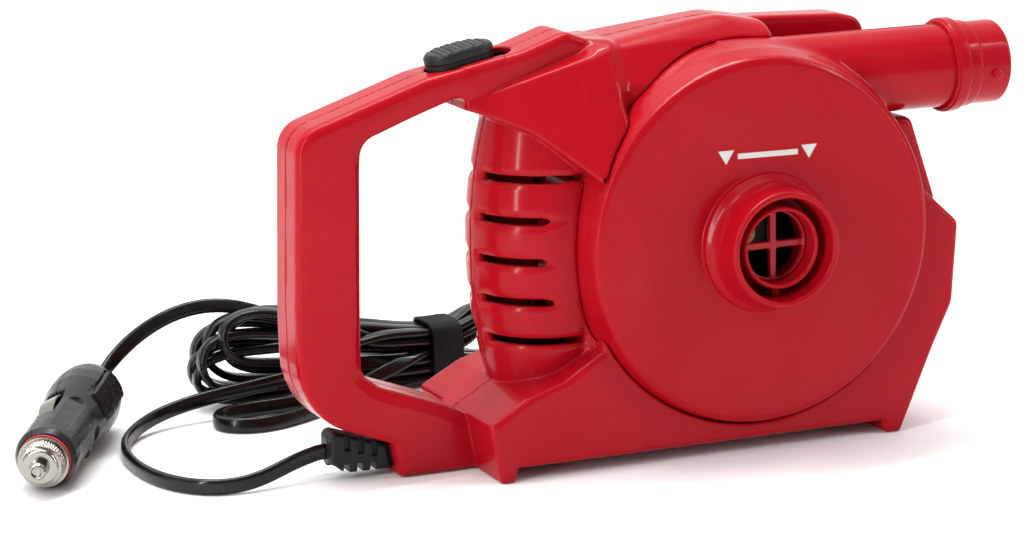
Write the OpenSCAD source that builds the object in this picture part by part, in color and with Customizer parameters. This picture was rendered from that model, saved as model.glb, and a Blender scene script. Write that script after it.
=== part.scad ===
// Electric air mattress pump, 12 V, with a cord and an accessory plug.
// Origin: centre of the pump's box on the ground. +X points to the outlet, +Z is up, and the
// round intake face looks along -Y. Each piece below is drawn round the fan axis: x = 0 there,
// y = 0 is the parting plane of the two shells, z = 0 is the ground.

/* [Body] */
// Height of the fan axis above the ground
fan_h = 72.7; // [72:0.1:74]
// Wall thickness of the shells
wall = 2.4; // [2:0.1:3]
// Half the depth of the base
base_y = 33; // [32:0.5:35]
// Half the width of the handle
handle_y = 11.5; // [11:0.1:12.5]

/* [Volute] */
// Radius of the round face
face_r = 61.5; // [60:0.5:62]
// Radius of the volute's rim
rim_r = 65; // [64:0.5:66]
// How far the face stands in front of the parting plane
face_y = 36.5; // [35:0.5:38]
// How far the port's rim stands in front of the parting plane
port_y = 52; // [48:0.5:54]
// Outer radius of the port
port_r = 19.6; // [19:0.1:20.5]

/* [Outlet] */
// Outer radius of the outlet pipe
pipe_r = 14.3; // [14:0.1:14.8]
// Bore radius of the outlet
bore_r = 12; // [11:0.1:12.2]
// Distance of the pipe's axis in front of the parting plane
pipe_y = 15; // [14.8:0.1:15]
// Height of the pipe's axis
pipe_z = 122.8; // [122:0.1:123]
// End of the outlet, from the fan axis
outlet_x = 98; // [96:1:102]

/* [Motor] */
// Radius of the motor can
can_r = 17.9; // [16:0.1:18]
// Length of the motor can
can_len = 31; // [28:0.5:31]
// Radius of the shaft
shaft_r = 1.5875; // [1.5:0.0001:2]

/* [Fan] */
// Radius of the impeller
impeller_r = 50; // [46:0.5:51]
// Number of blades
blades = 11; // [7:1:15]

/* [Switch] */
// Length of the button
button_len = 24; // [22:0.5:25]
// Width of the button
button_w = 14.4; // [12:0.1:15]
// Travel of the button
button_travel = 5.5; // [4:0.1:5.8]

/* [Plug] */
// Radius of the plug's barrel
barrel_r = 10.4; // [10.2:0.05:10.45]
// Length of the two body halves
barrel_len = 80; // [76:1:84]
// Direction in which the tip points, seen from above
plug_yaw = -118; // [-124:1:-112]
// Roll that sets the side contacts askew
plug_roll = 27; // [24:1:40]

/* [Cord] */
// Width of the flat cord
cord_w = 5.4; // [5:0.1:6]
// Thickness of the flat cord
cord_t = 2.8; // [2.6:0.1:3]

/* [Hidden] */
$fn = 64;
gap = 0.3;
box_x = 29;
box_y = 6;
volute_back = 0.6;
dome_y = 40;
screw_r = 1.5;
screw_len = 14;
head_r = 2.9;
can_front = volute_back - 0.1;
can_back = can_front - can_len;
disc_h = 7.4;
hub_r = 7;
hub_len = 15;
blade_h = 19;
switch_x = -93.5;
switch_z = 135.33;
slope = 10.73;
skirt_z = -wall - 1.8;
case_z = skirt_z - 0.8;
plug_head = [-194, 98, 13.6];
plug_tilt = 2.2;
bore_x = 33;
fuse_x = bore_x + 12.7;
fuse_len = 20;
hank_y = 105;
hank_w = 21;
hank_z = 0.9;
hank_top = 22.8;
tie_x = -61.5;

red = [0.72, 0.05, 0.11];
black = [0.07, 0.07, 0.075];
nickel = [0.78, 0.76, 0.72];
copper = [0.72, 0.4, 0.22];

// ---- Outlines: corners are [x, z, radius], counter-clockwise ----

function unit(v) = v / norm(v);

// The arc that rounds corner b between its neighbours a and c
function arc_at(a, b, c, r, n) =
    let (u = unit(a - b), v = unit(c - b), half = acos(u * v) / 2,
         centre = b + unit(u + v) * r / sin(half), s = b + u * r / tan(half) - centre,
         f = b + v * r / tan(half) - centre, a0 = atan2(s[1], s[0]),
         sweep = (atan2(f[1], f[0]) - a0 + 540) % 360 - 180)
    [for (k = [0:n]) centre + r * [cos(a0 + sweep * k / n), sin(a0 + sweep * k / n)]];

function flat(p) = [p[0], p[1]];

function rounded(pts, n = 5) =
    let (m = len(pts))
    [for (i = [0:m - 1])
        each pts[i][2] > 0
            ? arc_at(flat(pts[(i + m - 1) % m]), flat(pts[i]), flat(pts[(i + 1) % m]), pts[i][2], n)
            : [flat(pts[i])]];

// The same outline moved inwards by d, its radii adjusted
function inset(pts, d) =
    let (m = len(pts))
    [for (i = [0:m - 1])
        let (a = flat(pts[(i + m - 1) % m]), b = flat(pts[i]), c = flat(pts[(i + 1) % m]),
             u = unit(b - a), v = unit(c - b), n1 = [-u[1], u[0]], n2 = [-v[1], v[0]],
             p = b + d * (n1 + n2) / (1 + n1 * n2), bulge = u[0] * v[1] - u[1] * v[0],
             r = pts[i][2])
        [p[0], p[1], r == 0 ? 0 : max(bulge > 0 ? r - d : r + d, 0)]];

base_pts = [[-94.5, 0, 1], [-89.5, 0, 1], [-88.3, 4.5, 0], [47, 4.5, 0], [48.5, 0, 1],
    [54, 0, 1], [75, 43, 9], [77, 71, 4], [63, 84, 0], [-56, 84, 0], [-57, 40, 0],
    [-70, 32, 6], [-84, 27.5, 4], [-98, 19.7, 1.5]];

core_pts = [[-60, 12, 0], [56, 12, 0], [72, 79, 0], [62, 109, 2], [62, 122, 10], [55, 139, 6],
    [47, 140.8, 6], [12, 142.4, 10], [-2.5, 145.4, 8], [-28, 142, 20], [-47, 139.2, 6],
    [-60, 144, 6], [-60, 100, 0]];

shoulder_pts = [[-96, 121, 0], [-88, 118, 4], [-76, 112.5, 8], [-58, 97, 0], [-46, 92, 0],
    [-46, 139, 0], [-48, 139.4, 4], [-60, 144, 6], [-75.7, 138.7, 12], [-96, 134.9, 0]];

handle_pts = [[-121.5, 0, 1.5], [-88, 0, 0], [-88, 25, 0], [-96.5, 18.4, 4], [-107, 23.8, 12],
    [-128.5, 31.8, 8], [-134.4, 36.8, 5], [-132.7, 113.2, 7], [-114.3, 120, 0],
    [-97.5, 125.6, 5], [-91, 120, 0], [-82, 120, 0], [-82, 137.5, 0], [-110, 132.2, 20],
    [-154.4, 117.5, 10], [-156.2, 60, 60], [-155.8, 24, 26], [-123.5, 11.6, 2.6]];

// ---- Placing ----

module place() {
    translate([box_x, box_y, 0]) children();
}

// Local z runs forwards out of the round face, from the parting plane
module about_fan() {
    translate([0, 0, fan_h]) rotate([90, 0, 0]) children();
}

// Extrudes an outline in x and z from y0 to y1
module slab(pts, y0, y1) {
    translate([0, y1, 0]) rotate([90, 0, 0]) linear_extrude(y1 - y0) polygon(pts);
}

// Extrudes an outline in y and z from x0 to x1
module bar(pts, x0, x1) {
    translate([x0, 0, 0]) rotate([90, 0, 90]) linear_extrude(x1 - x0) polygon(pts);
}

module along_x(x0, x1, r) {
    translate([x0, 0, 0]) rotate([0, 90, 0]) cylinder(h = x1 - x0, r = r);
}

module pipe_axis() {
    translate([0, -pipe_y, pipe_z]) children();
}

module on_switch() {
    translate([switch_x, 0, switch_z]) rotate([0, -slope, 0]) children();
}

module on_plug() {
    translate(plug_head) rotate([0, 0, plug_yaw]) rotate([0, plug_tilt, 0])
        rotate([plug_roll, 0, 0]) children();
}

// ---- The shells' common form; d = 0 is the outside and d = wall the hollow ----

module base_form(d) {
    slab(rounded(inset(base_pts, d)), -base_y + d, base_y - d);
}

function core_section(d) =
    let (lo = 11 + d, hi = 146 - d, f = 24 - d, b = 27 - d)
    [[-f, lo], [b, lo], [b, 128 - d / 2], [20 - d, 138 - d], [10, hi], [-6, hi],
     [-15, 138.6 - d], [-f, 126 - d / 2]];

module core_form(d) {
    difference() {
        intersection() {
            slab(rounded(inset(core_pts, d)), -24 + d, 27 - d);
            bar(core_section(d), -70, 90);
        }
        translate([14 - d, -40, 107.5 - d]) cube([80, 40 + d, 60]);
    }
}

function shoulder_section(d) =
    let (w = 27 - d)
    [[-w, 88], [w, 88], [w, 128 - d / 2], [20 - d / 2, 138 - d], [10, 147 - d], [-10, 147 - d],
     [-20 + d / 2, 138 - d], [-w, 128 - d / 2]];

module shoulder_form(d) {
    s = handle_y - d;
    w = 27 - d;
    intersection() {
        slab(rounded(inset(shoulder_pts, d)), -w, w);
        bar(shoulder_section(d), -100, -40);
        translate([0, 0, 80]) linear_extrude(70)
            polygon([[-100, -s], [-88, -s], [-60, -w + 1], [-40, -w], [-40, w], [-60, w - 1],
                [-88, s], [-100, s]]);
    }
}

// Barrel-shaped vented wall: bulges in plan and in height
module barrel_form(d) {
    sag = 320;
    steps = 8;
    low = 24 + d;
    high = 121 - d;
    translate([-65, 0, 0]) rotate_extrude()
        polygon([[0, low],
            for (k = [0:steps])
                let (z = low + (high - low) * k / steps) [26 - d - pow(z - fan_h, 2) / sag, z],
            [0, high]]);
}

module handle_form(d) {
    slab(rounded(inset(handle_pts, d)), -handle_y + d, handle_y - d);
}

module dome_form(d) {
    about_fan() translate([0, 0, -dome_y + d]) cylinder(h = 20 - d, r = 33 - d);
    about_fan() translate([0, 0, -dome_y + 6]) cylinder(h = 12, r = 37 - d);
}

module form(d) {
    base_form(d);
    core_form(d);
    shoulder_form(d);
    barrel_form(d);
    handle_form(d);
}

// Where the shell screws stand: x, z and the depth of the rear shell there
screw_places = [[-145, 100, handle_y], [-145, 48, handle_y], [-106, 12.5, handle_y],
    [-83, 13, base_y], [52, 15, base_y], [70.2, 64, base_y], [-64, 126, 26]];

// Where a screw's head seats, behind the parting plane
function seat(depth) = depth == handle_y ? 7 : 9;

module screw() {
    cylinder(h = screw_len, r = screw_r);
    translate([0, 0, -2.2]) difference() {
        cylinder(h = 2.2, r = head_r);
        for (a = [0, 90])
            rotate([0, 0, a]) translate([-1.7, -0.4, -1]) cube([3.4, 0.8, 2.2]);
    }
}

// Children run forwards from y = y0 at each screw
module at_screw(s, y0) {
    translate([s[0], y0, s[1]]) rotate([90, 0, 0]) children();
}

module front_bosses() {
    for (s = screw_places)
        at_screw(s, -0.1) cylinder(h = s[2] - wall, r = 3.6);
}

module rear_bosses() {
    for (s = screw_places)
        at_screw(s, s[2] - 1) cylinder(h = s[2] - 1.1, r = s[2] == handle_y ? 3.9 : 4.6);
}

module screw_holes() {
    for (s = screw_places) {
        at_screw(s, seat(s[2]) + 1) cylinder(h = screw_len + 1.3, r = screw_r + 0.05);
        at_screw(s, seat(s[2]) + 30) cylinder(h = 30, r = head_r + 0.3);
    }
}

module vent_slots(side) {
    for (k = [0:4])
        translate([-96, side > 0 ? 4 : -23.5, 43.2 + 13.6 * k - 1.2]) cube([26, 19.5, 2.4]);
}

module switch_hole() {
    on_switch() translate([0, 0, -6]) linear_extrude(20)
        stadium(button_len + button_travel + 2 * gap, button_w + 2 * gap,
            -button_len / 2 - gap);
}

// A flat shape with round ends, from x0 along +X
module stadium(length, width, x0) {
    for (x = [x0 + width / 2, x0 + length - width / 2])
        translate([x, 0]) circle(d = width);
    translate([x0 + width / 2, -width / 2]) square([length - width, width]);
}

module relief_hole() {
    translate([-126.4, -5.1, 3.3]) cube([8, 10.2, 7.4]);
}

module half_shell(side) {
    y0 = side < 0 ? -80 : 0.05;
    y1 = side < 0 ? -0.05 : 80;
    difference() {
        intersection() {
            difference() {
                form(0);
                form(wall);
            }
            translate([-200, y0, -1]) cube([400, y1 - y0, 200]);
        }
        vent_slots(side);
        switch_hole();
        relief_hole();
    }
}

module front_shell() {
    color(red) place() difference() {
        union() {
            difference() {
                half_shell(-1);
                about_fan() translate([0, 0, -1]) cylinder(h = 60, r = rim_r + 1);
            }
            // Sleeve round the volute
            intersection() {
                about_fan() translate([0, 0, 0.05]) difference() {
                    cylinder(h = base_y, r = rim_r + 2.4);
                    translate([0, 0, -1]) cylinder(h = base_y + 2, r = rim_r + gap);
                }
                form(0);
            }
            intersection() {
                front_bosses();
                form(0);
            }
            switch_rib(3.5, -1);
            switch_rib(13, -1);
        }
        screw_holes();
        switch_hole();
        switch_room();
        relief_hole();
        pipe_axis() along_x(0, 80, pipe_r + gap);
    }
}

// A rib that holds the switch's case from the side, at local x
module switch_rib(x, side) {
    on_switch() translate([x, side > 0 ? 5.1 : -9.7, case_z - 6]) cube([1.6, 4.6, 5]);
}

// Room for the button's skirt and the switch under the handle's top wall
module switch_room() {
    on_switch() translate([-18.6, -9, -7]) cube([44, 18, 7 - wall]);
}

module rear_shell() {
    color(red) place() difference() {
        union() {
            difference() {
                half_shell(1);
                about_fan() translate([0, 0, -dome_y]) cylinder(h = dome_y - 3, r = 30.6);
            }
            intersection() {
                rear_bosses();
                form(0);
            }
            switch_rib(13, 1);
            difference() {
                dome_form(0);
                about_fan() translate([0, 0, -dome_y + wall]) cylinder(h = 40, r = 30.6);
            }
            // Ring that holds the motor's cushion
            about_fan() translate([0, 0, -dome_y + 1]) difference() {
                cylinder(h = 17, r = can_r + 5.6);
                translate([0, 0, -1]) cylinder(h = 30, r = can_r + 3.6);
            }
        }
        // Notch in that ring for the motor's wires
        translate([-27, 30.4, fan_h - 8]) cube([8, dome_y - wall - 30.4, 15]);
        screw_holes();
        switch_hole();
        switch_room();
        relief_hole();
        dome_vents();
    }
}

// Rows of cooling slots in the motor dome
module dome_vents() {
    for (k = [-3:3]) {
        half = sqrt(pow(27, 2) - pow(k * 7, 2)) - 2;
        translate([-half, dome_y - 5, fan_h + k * 7 - 1.2]) cube([2 * half, 10, 2.4]);
    }
}

module volute_cover() {
    color(red) place() difference() {
        union() {
            difference() {
                union() {
                    about_fan() rotate_extrude($fn = 120) polygon([[22.5, face_y - wall],
                        [60.5, face_y - wall], [62.3, 27], [rim_r - wall, pipe_y],
                        [rim_r, pipe_y], [face_r + 2.2, 27], [face_r + 0.4, face_y - 2],
                        [face_r - 0.4, face_y - 0.7], [face_r - 2, face_y], [22.5, face_y]]);
                    pipe_axis() intersection() {
                        along_x(-6, 76, pipe_r);
                        translate([-6, -20, -20]) cube([90, 20, 40]);
                    }
                }
                about_fan() cylinder(h = face_y - wall, r = 60.5);
                pipe_axis() along_x(-8, 76.1, bore_r + 0.25);
                pipe_axis() along_x(69.9, 80, bore_r + 1.15);
            }
            port();
        }
        about_fan() translate([0, 0, -0.4]) cylinder(h = pipe_y + 0.4, r = 70);
    }
}

// Deflate port: outer tube, inner ring and the rib between them
module port() {
    about_fan() rotate_extrude() polygon([[17.2, face_y - wall], [23, face_y - wall],
        [23, face_y], [21.2, face_y + 2], [20.4, face_y + 5], [port_r, port_y - 7],
        [port_r, port_y - 0.8], [port_r - 0.8, port_y], [17.8, port_y], [17.2, port_y - 0.8]]);
    about_fan() rotate_extrude() polygon([[12.2, face_y - wall], [17.4, face_y - wall],
        [17.4, face_y - 0.4], [13.8, face_y - 0.4], [13.8, port_y - 4.5], [13.3, port_y - 4],
        [12.7, port_y - 4], [12.2, port_y - 4.5]]);
    translate([-1.5, -port_y + 8, fan_h - 17.5]) cube([3, 8, 4.2]);
}

// The scroll's tongue is below the outlet; its radius grows clockwise
function scroll(r0) =
    [for (a = [0:12:288]) (r0 + 5.4 * a / 288) * [cos(44 - a), sin(44 - a)]];

function reversed(v) = [for (k = [len(v) - 1:-1:0]) v[k]];

module volute_base() {
    color(red) place() difference() {
        union() {
            difference() {
                union() {
                    about_fan() translate([0, 0, volute_back])
                        cylinder(h = pipe_y - volute_back - 0.05, r = rim_r);
                    pipe_axis() intersection() {
                        along_x(-6, 76, pipe_r);
                        translate([-6, 0.05, -20]) cube([90, 20, 40]);
                    }
                }
                about_fan() translate([0, 0, volute_back + wall]) cylinder(h = 40, r = rim_r - wall);
                pipe_axis() along_x(-8, 76.1, bore_r + 0.25);
                pipe_axis() along_x(69.9, 80, bore_r + 1.15);
            }
            about_fan() translate([0, 0, volute_back + 1]) linear_extrude(31.5)
                polygon(concat(scroll(53), reversed(scroll(54.6))));
        }
        about_fan() cylinder(h = 10, r = 6.8, center = true);
        for (x = [-12.5, 12.5])
            translate([x, 0, fan_h]) rotate([90, 0, 0]) cylinder(h = 10, r = 1.6, center = true);
    }
}

module outlet_nozzle() {
    color(red) place() pipe_axis() difference() {
        union() {
            along_x(70.1, 77, bore_r + 1.1);
            along_x(76.2, 77.2, 15.6);
            along_x(77.2, 81.8, 16.2);
            along_x(81.8, 86.4, 14.9);
            along_x(86, outlet_x, pipe_r);
            // Bayonet pins
            for (side = [-1, 1])
                translate([outlet_x - 6, 0, -2.2 * side]) rotate([90 * side, 0, 0])
                    cylinder(h = pipe_r + 1.7, r = 1.6);
        }
        along_x(60, outlet_x + 2, bore_r);
    }
}

module intake_guard() {
    color(red) place() about_fan() translate([0, 0, face_y + 3]) {
        difference() {
            cylinder(h = 2.4, r = 12.1);
            translate([0, 0, -1]) cylinder(h = 5, r = 11.2);
        }
        for (a = [0, 90])
            rotate([0, 0, a]) translate([-11.5, -1.2, 0]) cube([23, 2.4, 2.2]);
    }
}

module impeller() {
    color([0.16, 0.16, 0.17]) place() about_fan() difference() {
        union() {
            translate([0, 0, disc_h]) cylinder(h = 1.6, r = impeller_r);
            translate([0, 0, disc_h]) cylinder(h = hub_len, r = hub_r);
            for (k = [0:blades - 1])
                rotate([0, 0, 360 * k / blades]) translate([0, 0, disc_h + 0.8])
                    linear_extrude(blade_h) polygon(blade());
        }
        translate([0, 0, disc_h - 1]) cylinder(h = 40, r = 3.2);
    }
}

// A backward-curved blade, thin in plan
function blade() =
    let (line = [for (t = [0:6]) let (r = 15 + (impeller_r - 15.6) * t / 6)
            r * [cos(-4.5 * t), sin(-4.5 * t)]],
         back = [for (t = [6:-1:0]) let (r = 15 + (impeller_r - 15.6) * t / 6)
            r * [cos(-4.5 * t), sin(-4.5 * t)] + [-0.3, 1.1]])
    concat(line, back);

module impeller_bush() {
    color([0.75, 0.6, 0.25]) place() about_fan() translate([0, 0, disc_h]) difference() {
        cylinder(h = hub_len, r = 3.2);
        translate([0, 0, -1]) cylinder(h = hub_len + 2, r = shaft_r);
    }
}

module motor_shaft() {
    back = can_back - 5.9;
    color(nickel) place() about_fan() translate([0, 0, back])
        cylinder(h = disc_h + hub_len - 2 - back, r = shaft_r);
}

module motor_can() {
    color([0.62, 0.63, 0.64]) place() about_fan() difference() {
        union() {
            translate([0, 0, can_back]) cylinder(h = can_len, r = can_r);
            translate([0, 0, can_front - 0.3]) cylinder(h = 4, r = 6.5);
        }
        translate([0, 0, can_back - 1]) cylinder(h = can_len - 0.6, r = can_r - 1.4);
        translate([0, 0, -2]) cylinder(h = 5, r = 3.5);
        cylinder(h = 20, r = 2.2);
        for (x = [-12.5, 12.5])
            translate([x, 0, -4]) cylinder(h = 8, r = 1.3);
    }
}

module motor_magnets() {
    color([0.22, 0.22, 0.23]) place() about_fan() translate([0, 0, -25]) difference() {
        cylinder(h = 21, r = can_r - 1.45);
        translate([0, 0, -1]) cylinder(h = 30, r = 13.2);
        for (a = [0, 180])
            rotate([0, 0, a]) translate([9, -4, -1]) cube([12, 8, 30]);
    }
}

module armature() {
    color([0.5, 0.45, 0.4]) place() about_fan() translate([0, 0, -23]) {
        difference() {
            cylinder(h = 16, r = 12.8);
            translate([0, 0, -1]) cylinder(h = 20, r = shaft_r);
            for (k = [0:4])
                rotate([0, 0, 72 * k]) translate([8, -1, -1]) cube([6, 2, 20]);
        }
    }
}

// Wound ends of the coils, in front of and behind the armature
module windings() {
    color(copper) place() about_fan() for (z = [-25, -7])
        translate([0, 0, z]) difference() {
            cylinder(h = 2, r = 11);
            translate([0, 0, -1]) cylinder(h = 6, r = shaft_r);
        }
}

module commutator() {
    color(copper) place() about_fan() translate([0, 0, -31.3]) difference() {
        cylinder(h = 6, r = 4.6);
        translate([0, 0, -1]) cylinder(h = 10, r = shaft_r);
        for (k = [0:4])
            rotate([0, 0, 72 * k]) translate([4, -0.2, -1]) cube([2, 0.4, 9]);
    }
}

// Plate that closes the can, with the brush holders, the bearing's pocket and two lugs
module motor_end_bell() {
    color(black) place() about_fan() translate([0, 0, can_back]) difference() {
        union() {
            translate([0, 0, -3.1]) cylinder(h = 3, r = can_r - 0.3);
            translate([0, 0, -0.5]) cylinder(h = 2, r = can_r - 1.5);
            translate([0, 0, -5]) cylinder(h = 5, r = 5.4);
            for (side = [-1, 1]) {
                translate([side * 13 - 1, -0.3, -6.3]) cube([2, 0.6, 4]);
                translate([side * 8.6 - 2.6, -2.8, 0]) cube([5.2, 5.6, 4.6]);
            }
        }
        translate([0, 0, -4.2]) cylinder(h = 12, r = 3.5);
        translate([0, 0, -1]) cylinder(h = 12, r = 5.2);
        translate([0, 0, -8]) cylinder(h = 20, r = 2.2);
        for (side = [-1, 1])
            translate([side * 7.8 - 4, -1.55, 0.45]) cube([8, 3.1, 3.5]);
    }
}

module bearing_ring(z) {
    color([0.66, 0.52, 0.3]) place() about_fan() translate([0, 0, z]) difference() {
        cylinder(h = 3, r = 3.45);
        translate([0, 0, -1]) cylinder(h = 6, r = shaft_r + 0.04);
    }
}

module front_bearing() {
    bearing_ring(-0.1);
}

module rear_bearing() {
    bearing_ring(can_back - 4.1);
}

module brushes() {
    color([0.2, 0.19, 0.18]) place() about_fan() for (side = [-1, 1])
        translate([side * 7.8 - 3, -1.5, can_back + 0.5]) cube([6, 3, 3.4]);
}

module motor_screws() {
    color(nickel) place() for (x = [-12.5, 12.5])
        translate([x, -volute_back - wall, fan_h]) rotate([-90, 0, 0]) {
            translate([0, 0, -1.7]) cylinder(h = 1.7, r = 2.6);
            translate([0, 0, -0.1]) cylinder(h = 4.6, r = 1.25);
        }
}

module motor_cushion() {
    color([0.1, 0.1, 0.1]) place() about_fan() translate([0, 0, -30.2]) difference() {
        cylinder(h = 7, r = can_r + 3.5);
        translate([0, 0, -1]) cylinder(h = 9, r = can_r + 0.05);
    }
}

// The button: ridges across its crown, and a skirt under the wall that covers the slot
module switch_button() {
    color(black) place() on_switch() {
        difference() {
            linear_extrude(5.9) stadium(button_len, button_w, -button_len / 2);
            for (k = [-2:2])
                translate([k * 4 - 0.5, -button_w, 5.3]) cube([1, 2 * button_w, 2]);
        }
        translate([0, 0, -wall - 1]) linear_extrude(wall + 1.4)
            stadium(button_len - 1, button_w - 1, -button_len / 2 + 0.5);
        translate([-18, -8.6, skirt_z]) cube([37, 17.2, 1.2]);
    }
}

module switch_slider() {
    color([0.85, 0.83, 0.78]) place() on_switch() translate([2, -2, case_z - 2.2])
        cube([4, 4, 2.95]);
}

module switch_case() {
    color([0.25, 0.17, 0.1]) place() on_switch() translate([0, -5, case_z - 7]) difference() {
        cube([18, 10, 7]);
        translate([1.6, 2.7, 4.5]) cube([10.4, 4.6, 5]);
    }
}

module switch_terminals() {
    color(copper) place() on_switch() for (k = [0:2])
        translate([6 + 4 * k, -1.2, case_z - 9.9]) cube([0.8, 2.4, 2.85]);
}

// ---- Cords and wires: tubes swept along routes ----

// Rings of an eight-sided flat tube, upright on the route, joined into one closed solid
module swept(route, w, h) {
    n = len(route);
    sides = 8;
    rings = [for (i = [0:n - 1])
        let (t = unit(route[min(i + 1, n - 1)] - route[max(i - 1, 0)]),
             s = unit(cross(t, abs(t[2]) > 0.9 ? [0, 1, 0] : [0, 0, 1])), u = cross(s, t))
        for (k = [0:sides - 1])
            let (a = 360 * (k + 0.5) / sides) route[i] + s * w / 2 * cos(a) + u * h / 2 * sin(a)];
    polyhedron(rings, [
        [for (k = [0:sides - 1]) k],
        for (i = [0:n - 2], k = [0:sides - 1])
            let (p = i * sides, q = (k + 1) % sides)
            [p + k, p + sides + k, p + sides + q, p + q],
        [for (k = [sides - 1:-1:0]) (n - 1) * sides + k]]);
}

// A smooth curve through the route's points
function spline(p, n) =
    let (m = len(p))
    [for (i = [0:m - 2], k = [0:n - 1])
        let (t = k / n, a = p[max(i - 1, 0)], b = p[i], c = p[i + 1], d = p[min(i + 2, m - 1)])
        0.5 * (2 * b + (c - a) * t + (2 * a - 5 * b + 4 * c - d) * t * t
            + (3 * b - a - 3 * c + d) * t * t * t),
     p[m - 1]];

lead_route = [[-144.1, 0, 9.5], [-150, 0, 9], [-158, -1, 6.6], [-167, -3, 4], [-176, -4, 2.9],
    [-184, -2.5, 2.8], [-191, 4, 2.8], [-196, 14, 2.8], [-198.5, 27, 2.8], [-198.5, 42, 2.8],
    [-195, 59, 2.8], [-187, 74, 3.4], [-175, 83.5, 5.6], [-161, 87.5, 7.7], [-148, 89, 9],
    [-137, 90, 10], [-126, 91.5, 11], [-114, 94, 11.6], [-104, 97, 12]];

tail_route = [[-188.9, 107.7, 14], [-186.4, 111.6, 15.2], [-182, 115.2, 18.4],
    [-175.5, 117.4, 23.4], [-167.5, 117.6, 28.6], [-158.5, 116.2, 33], [-148, 114, 35.4],
    [-137, 112, 34.6], [-126, 111, 30.8], [-114, 110, 26.6],
    [-102, 109, 23.9]];

feed_route = [[-114.8, 1.5, 7], [-112.6, 1.5, 8], [-112.4, 1.5, 11.5], [-116, 1.5, 16],
    [-126, 1, 20], [-135, 0, 26], [-139.3, 0, 36], [-139.3, 0, 60], [-139, 0, 85], [-138.5, 0, 106],
    [-133.6, 0, 116.6], [-120, 1, 122.6], [-108, 2, 126.8], [-100, 3, 128.4], [-94, 6.9, 128],
    [-89, 7, 125.6], [-85.6, 5, 122.6], [-85, 2.4, 121.8]];

motor_route = [[-76.8, 0, 121.8], [-74.5, 2, 118], [-68, 9, 108], [-60, 14, 96], [-50, 17, 86],
    [-40, 18.5, 79], [-33, 18.6, 77.8], [-28.4, 20, 76.6], [-27.2, 25, 75.8],
    [-26.4, 29.5, 75.2], [-24, 33, 74.8],
    [-19, 35.4, 74], [-14.3, 35.6, 73]];

return_route = [[-114.8, -1.5, 6], [-106, -1.5, 5.6], [-96, -1.5, 10], [-91, -0.5, 15.3],
    [-86.5, 1.5, 18.9], [-80.5, 4.5, 20.6], [-75.5, 8, 25.2], [-72, 10.5, 32], [-68, 13.5, 42],
    [-58, 17, 56], [-44, 18.5, 64], [-34, 18.6, 67.6], [-28.6, 20, 68.9],
    [-27.2, 25, 69.3], [-26.6, 29.5, 69.4], [-24.5, 33, 69.6], [-20, 35.8, 68.4],
    [-12, 35.9, 62], [0, 35.9, 60], [10, 35.9, 64], [13, 35.6, 72.2]];

module cord_lead() {
    color(black) place() swept(spline(lead_route, 2), cord_t, cord_w);
}

module cord_tail() {
    color(black) place() swept(spline(tail_route, 2), cord_t, cord_w);
}

module wire(route) {
    swept(spline(route, 3), 1.6, 1.6);
}

module feed_wire() {
    color(red) place() wire(feed_route);
}

module motor_wire() {
    color(red) place() wire(motor_route);
}

module return_wire() {
    color(black) place() wire(return_route);
}

// The hank's outline from the side: two bulging ends and a waist in the tie
hank_pts = [[-160, hank_z, 14], [-26, hank_z, 14], [-26, 31, 13], [-44, 31, 10],
    [-52, hank_top, 8], [-92, hank_top, 30], [-122, 33, 20], [-136, 37.4, 10], [-150, 37.4, 10],
    [-160, 28, 14]];

// One slack turn lies on the ground in front
slack_pts = [[-157, 70, 6], [-150, 66, 6], [-120, 71, 10], [-84, 92, 0], [-84, 96, 0],
    [-112, 96, 0], [-128, 86, 10], [-157, 86, 6]];

module cord_hank() {
    color(black) place() {
        slab(rounded(hank_pts), hank_y - hank_w / 2, hank_y + hank_w / 2);
        translate([0, 0, hank_z]) linear_extrude(5.8) polygon(rounded(slack_pts));
    }
}

module hank_tie() {
    color([0.12, 0.12, 0.12]) place() translate([tie_x - 6, hank_y, 0]) difference() {
        translate([0, -hank_w / 2 - 0.9, 0]) cube([12, hank_w + 1.8, hank_top + 0.85]);
        translate([-1, -hank_w / 2 - 0.05, hank_z - 0.05])
            cube([14, hank_w + 0.1, hank_top - hank_z + 0.1]);
    }
}

// Boot with flexing notches; its tongue is held in the shells
module strain_relief() {
    color(black) place() difference() {
        union() {
            slab(rounded([[-139, 2.6, 2], [-122.4, 2.2, 0], [-124.2, 10.6, 0], [-143.8, 17.4, 2.5],
                [-144, 6.5, 2]]), -5.5, 5.5);
            translate([-125, -4.8, 3.6]) cube([10, 9.6, 6.8]);
        }
        for (k = [0:2]) {
            translate([-139.4 + 4.6 * k, -8, 0]) cube([2, 16, 5]);
            for (y = [-8, 4.4])
                translate([-139 + 4.8 * k, y, 11.2 - 1.4 * k]) cube([1.8, 3.6, 3.4]);
        }
    }
}

module shell_screws() {
    color(nickel) place() for (s = screw_places)
        at_screw(s, seat(s[2])) screw();
}

// ---- Plug: local +x runs from the head to the tip ----

plug_profile = [[0, 0], [0, 7.2], [1.2, 9.2], [4, 10.6], [9, 11.8], [16, 12.4], [24, 12.3],
    [33, 11.5], [42, barrel_r], [barrel_len - 3, barrel_r], [barrel_len, 9.2], [barrel_len, 0]];

module turned(pts) {
    rotate([0, 90, 0]) rotate([0, 0, 90]) rotate_extrude() polygon([for (p = pts) [p[1], p[0]]]);
}

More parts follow.
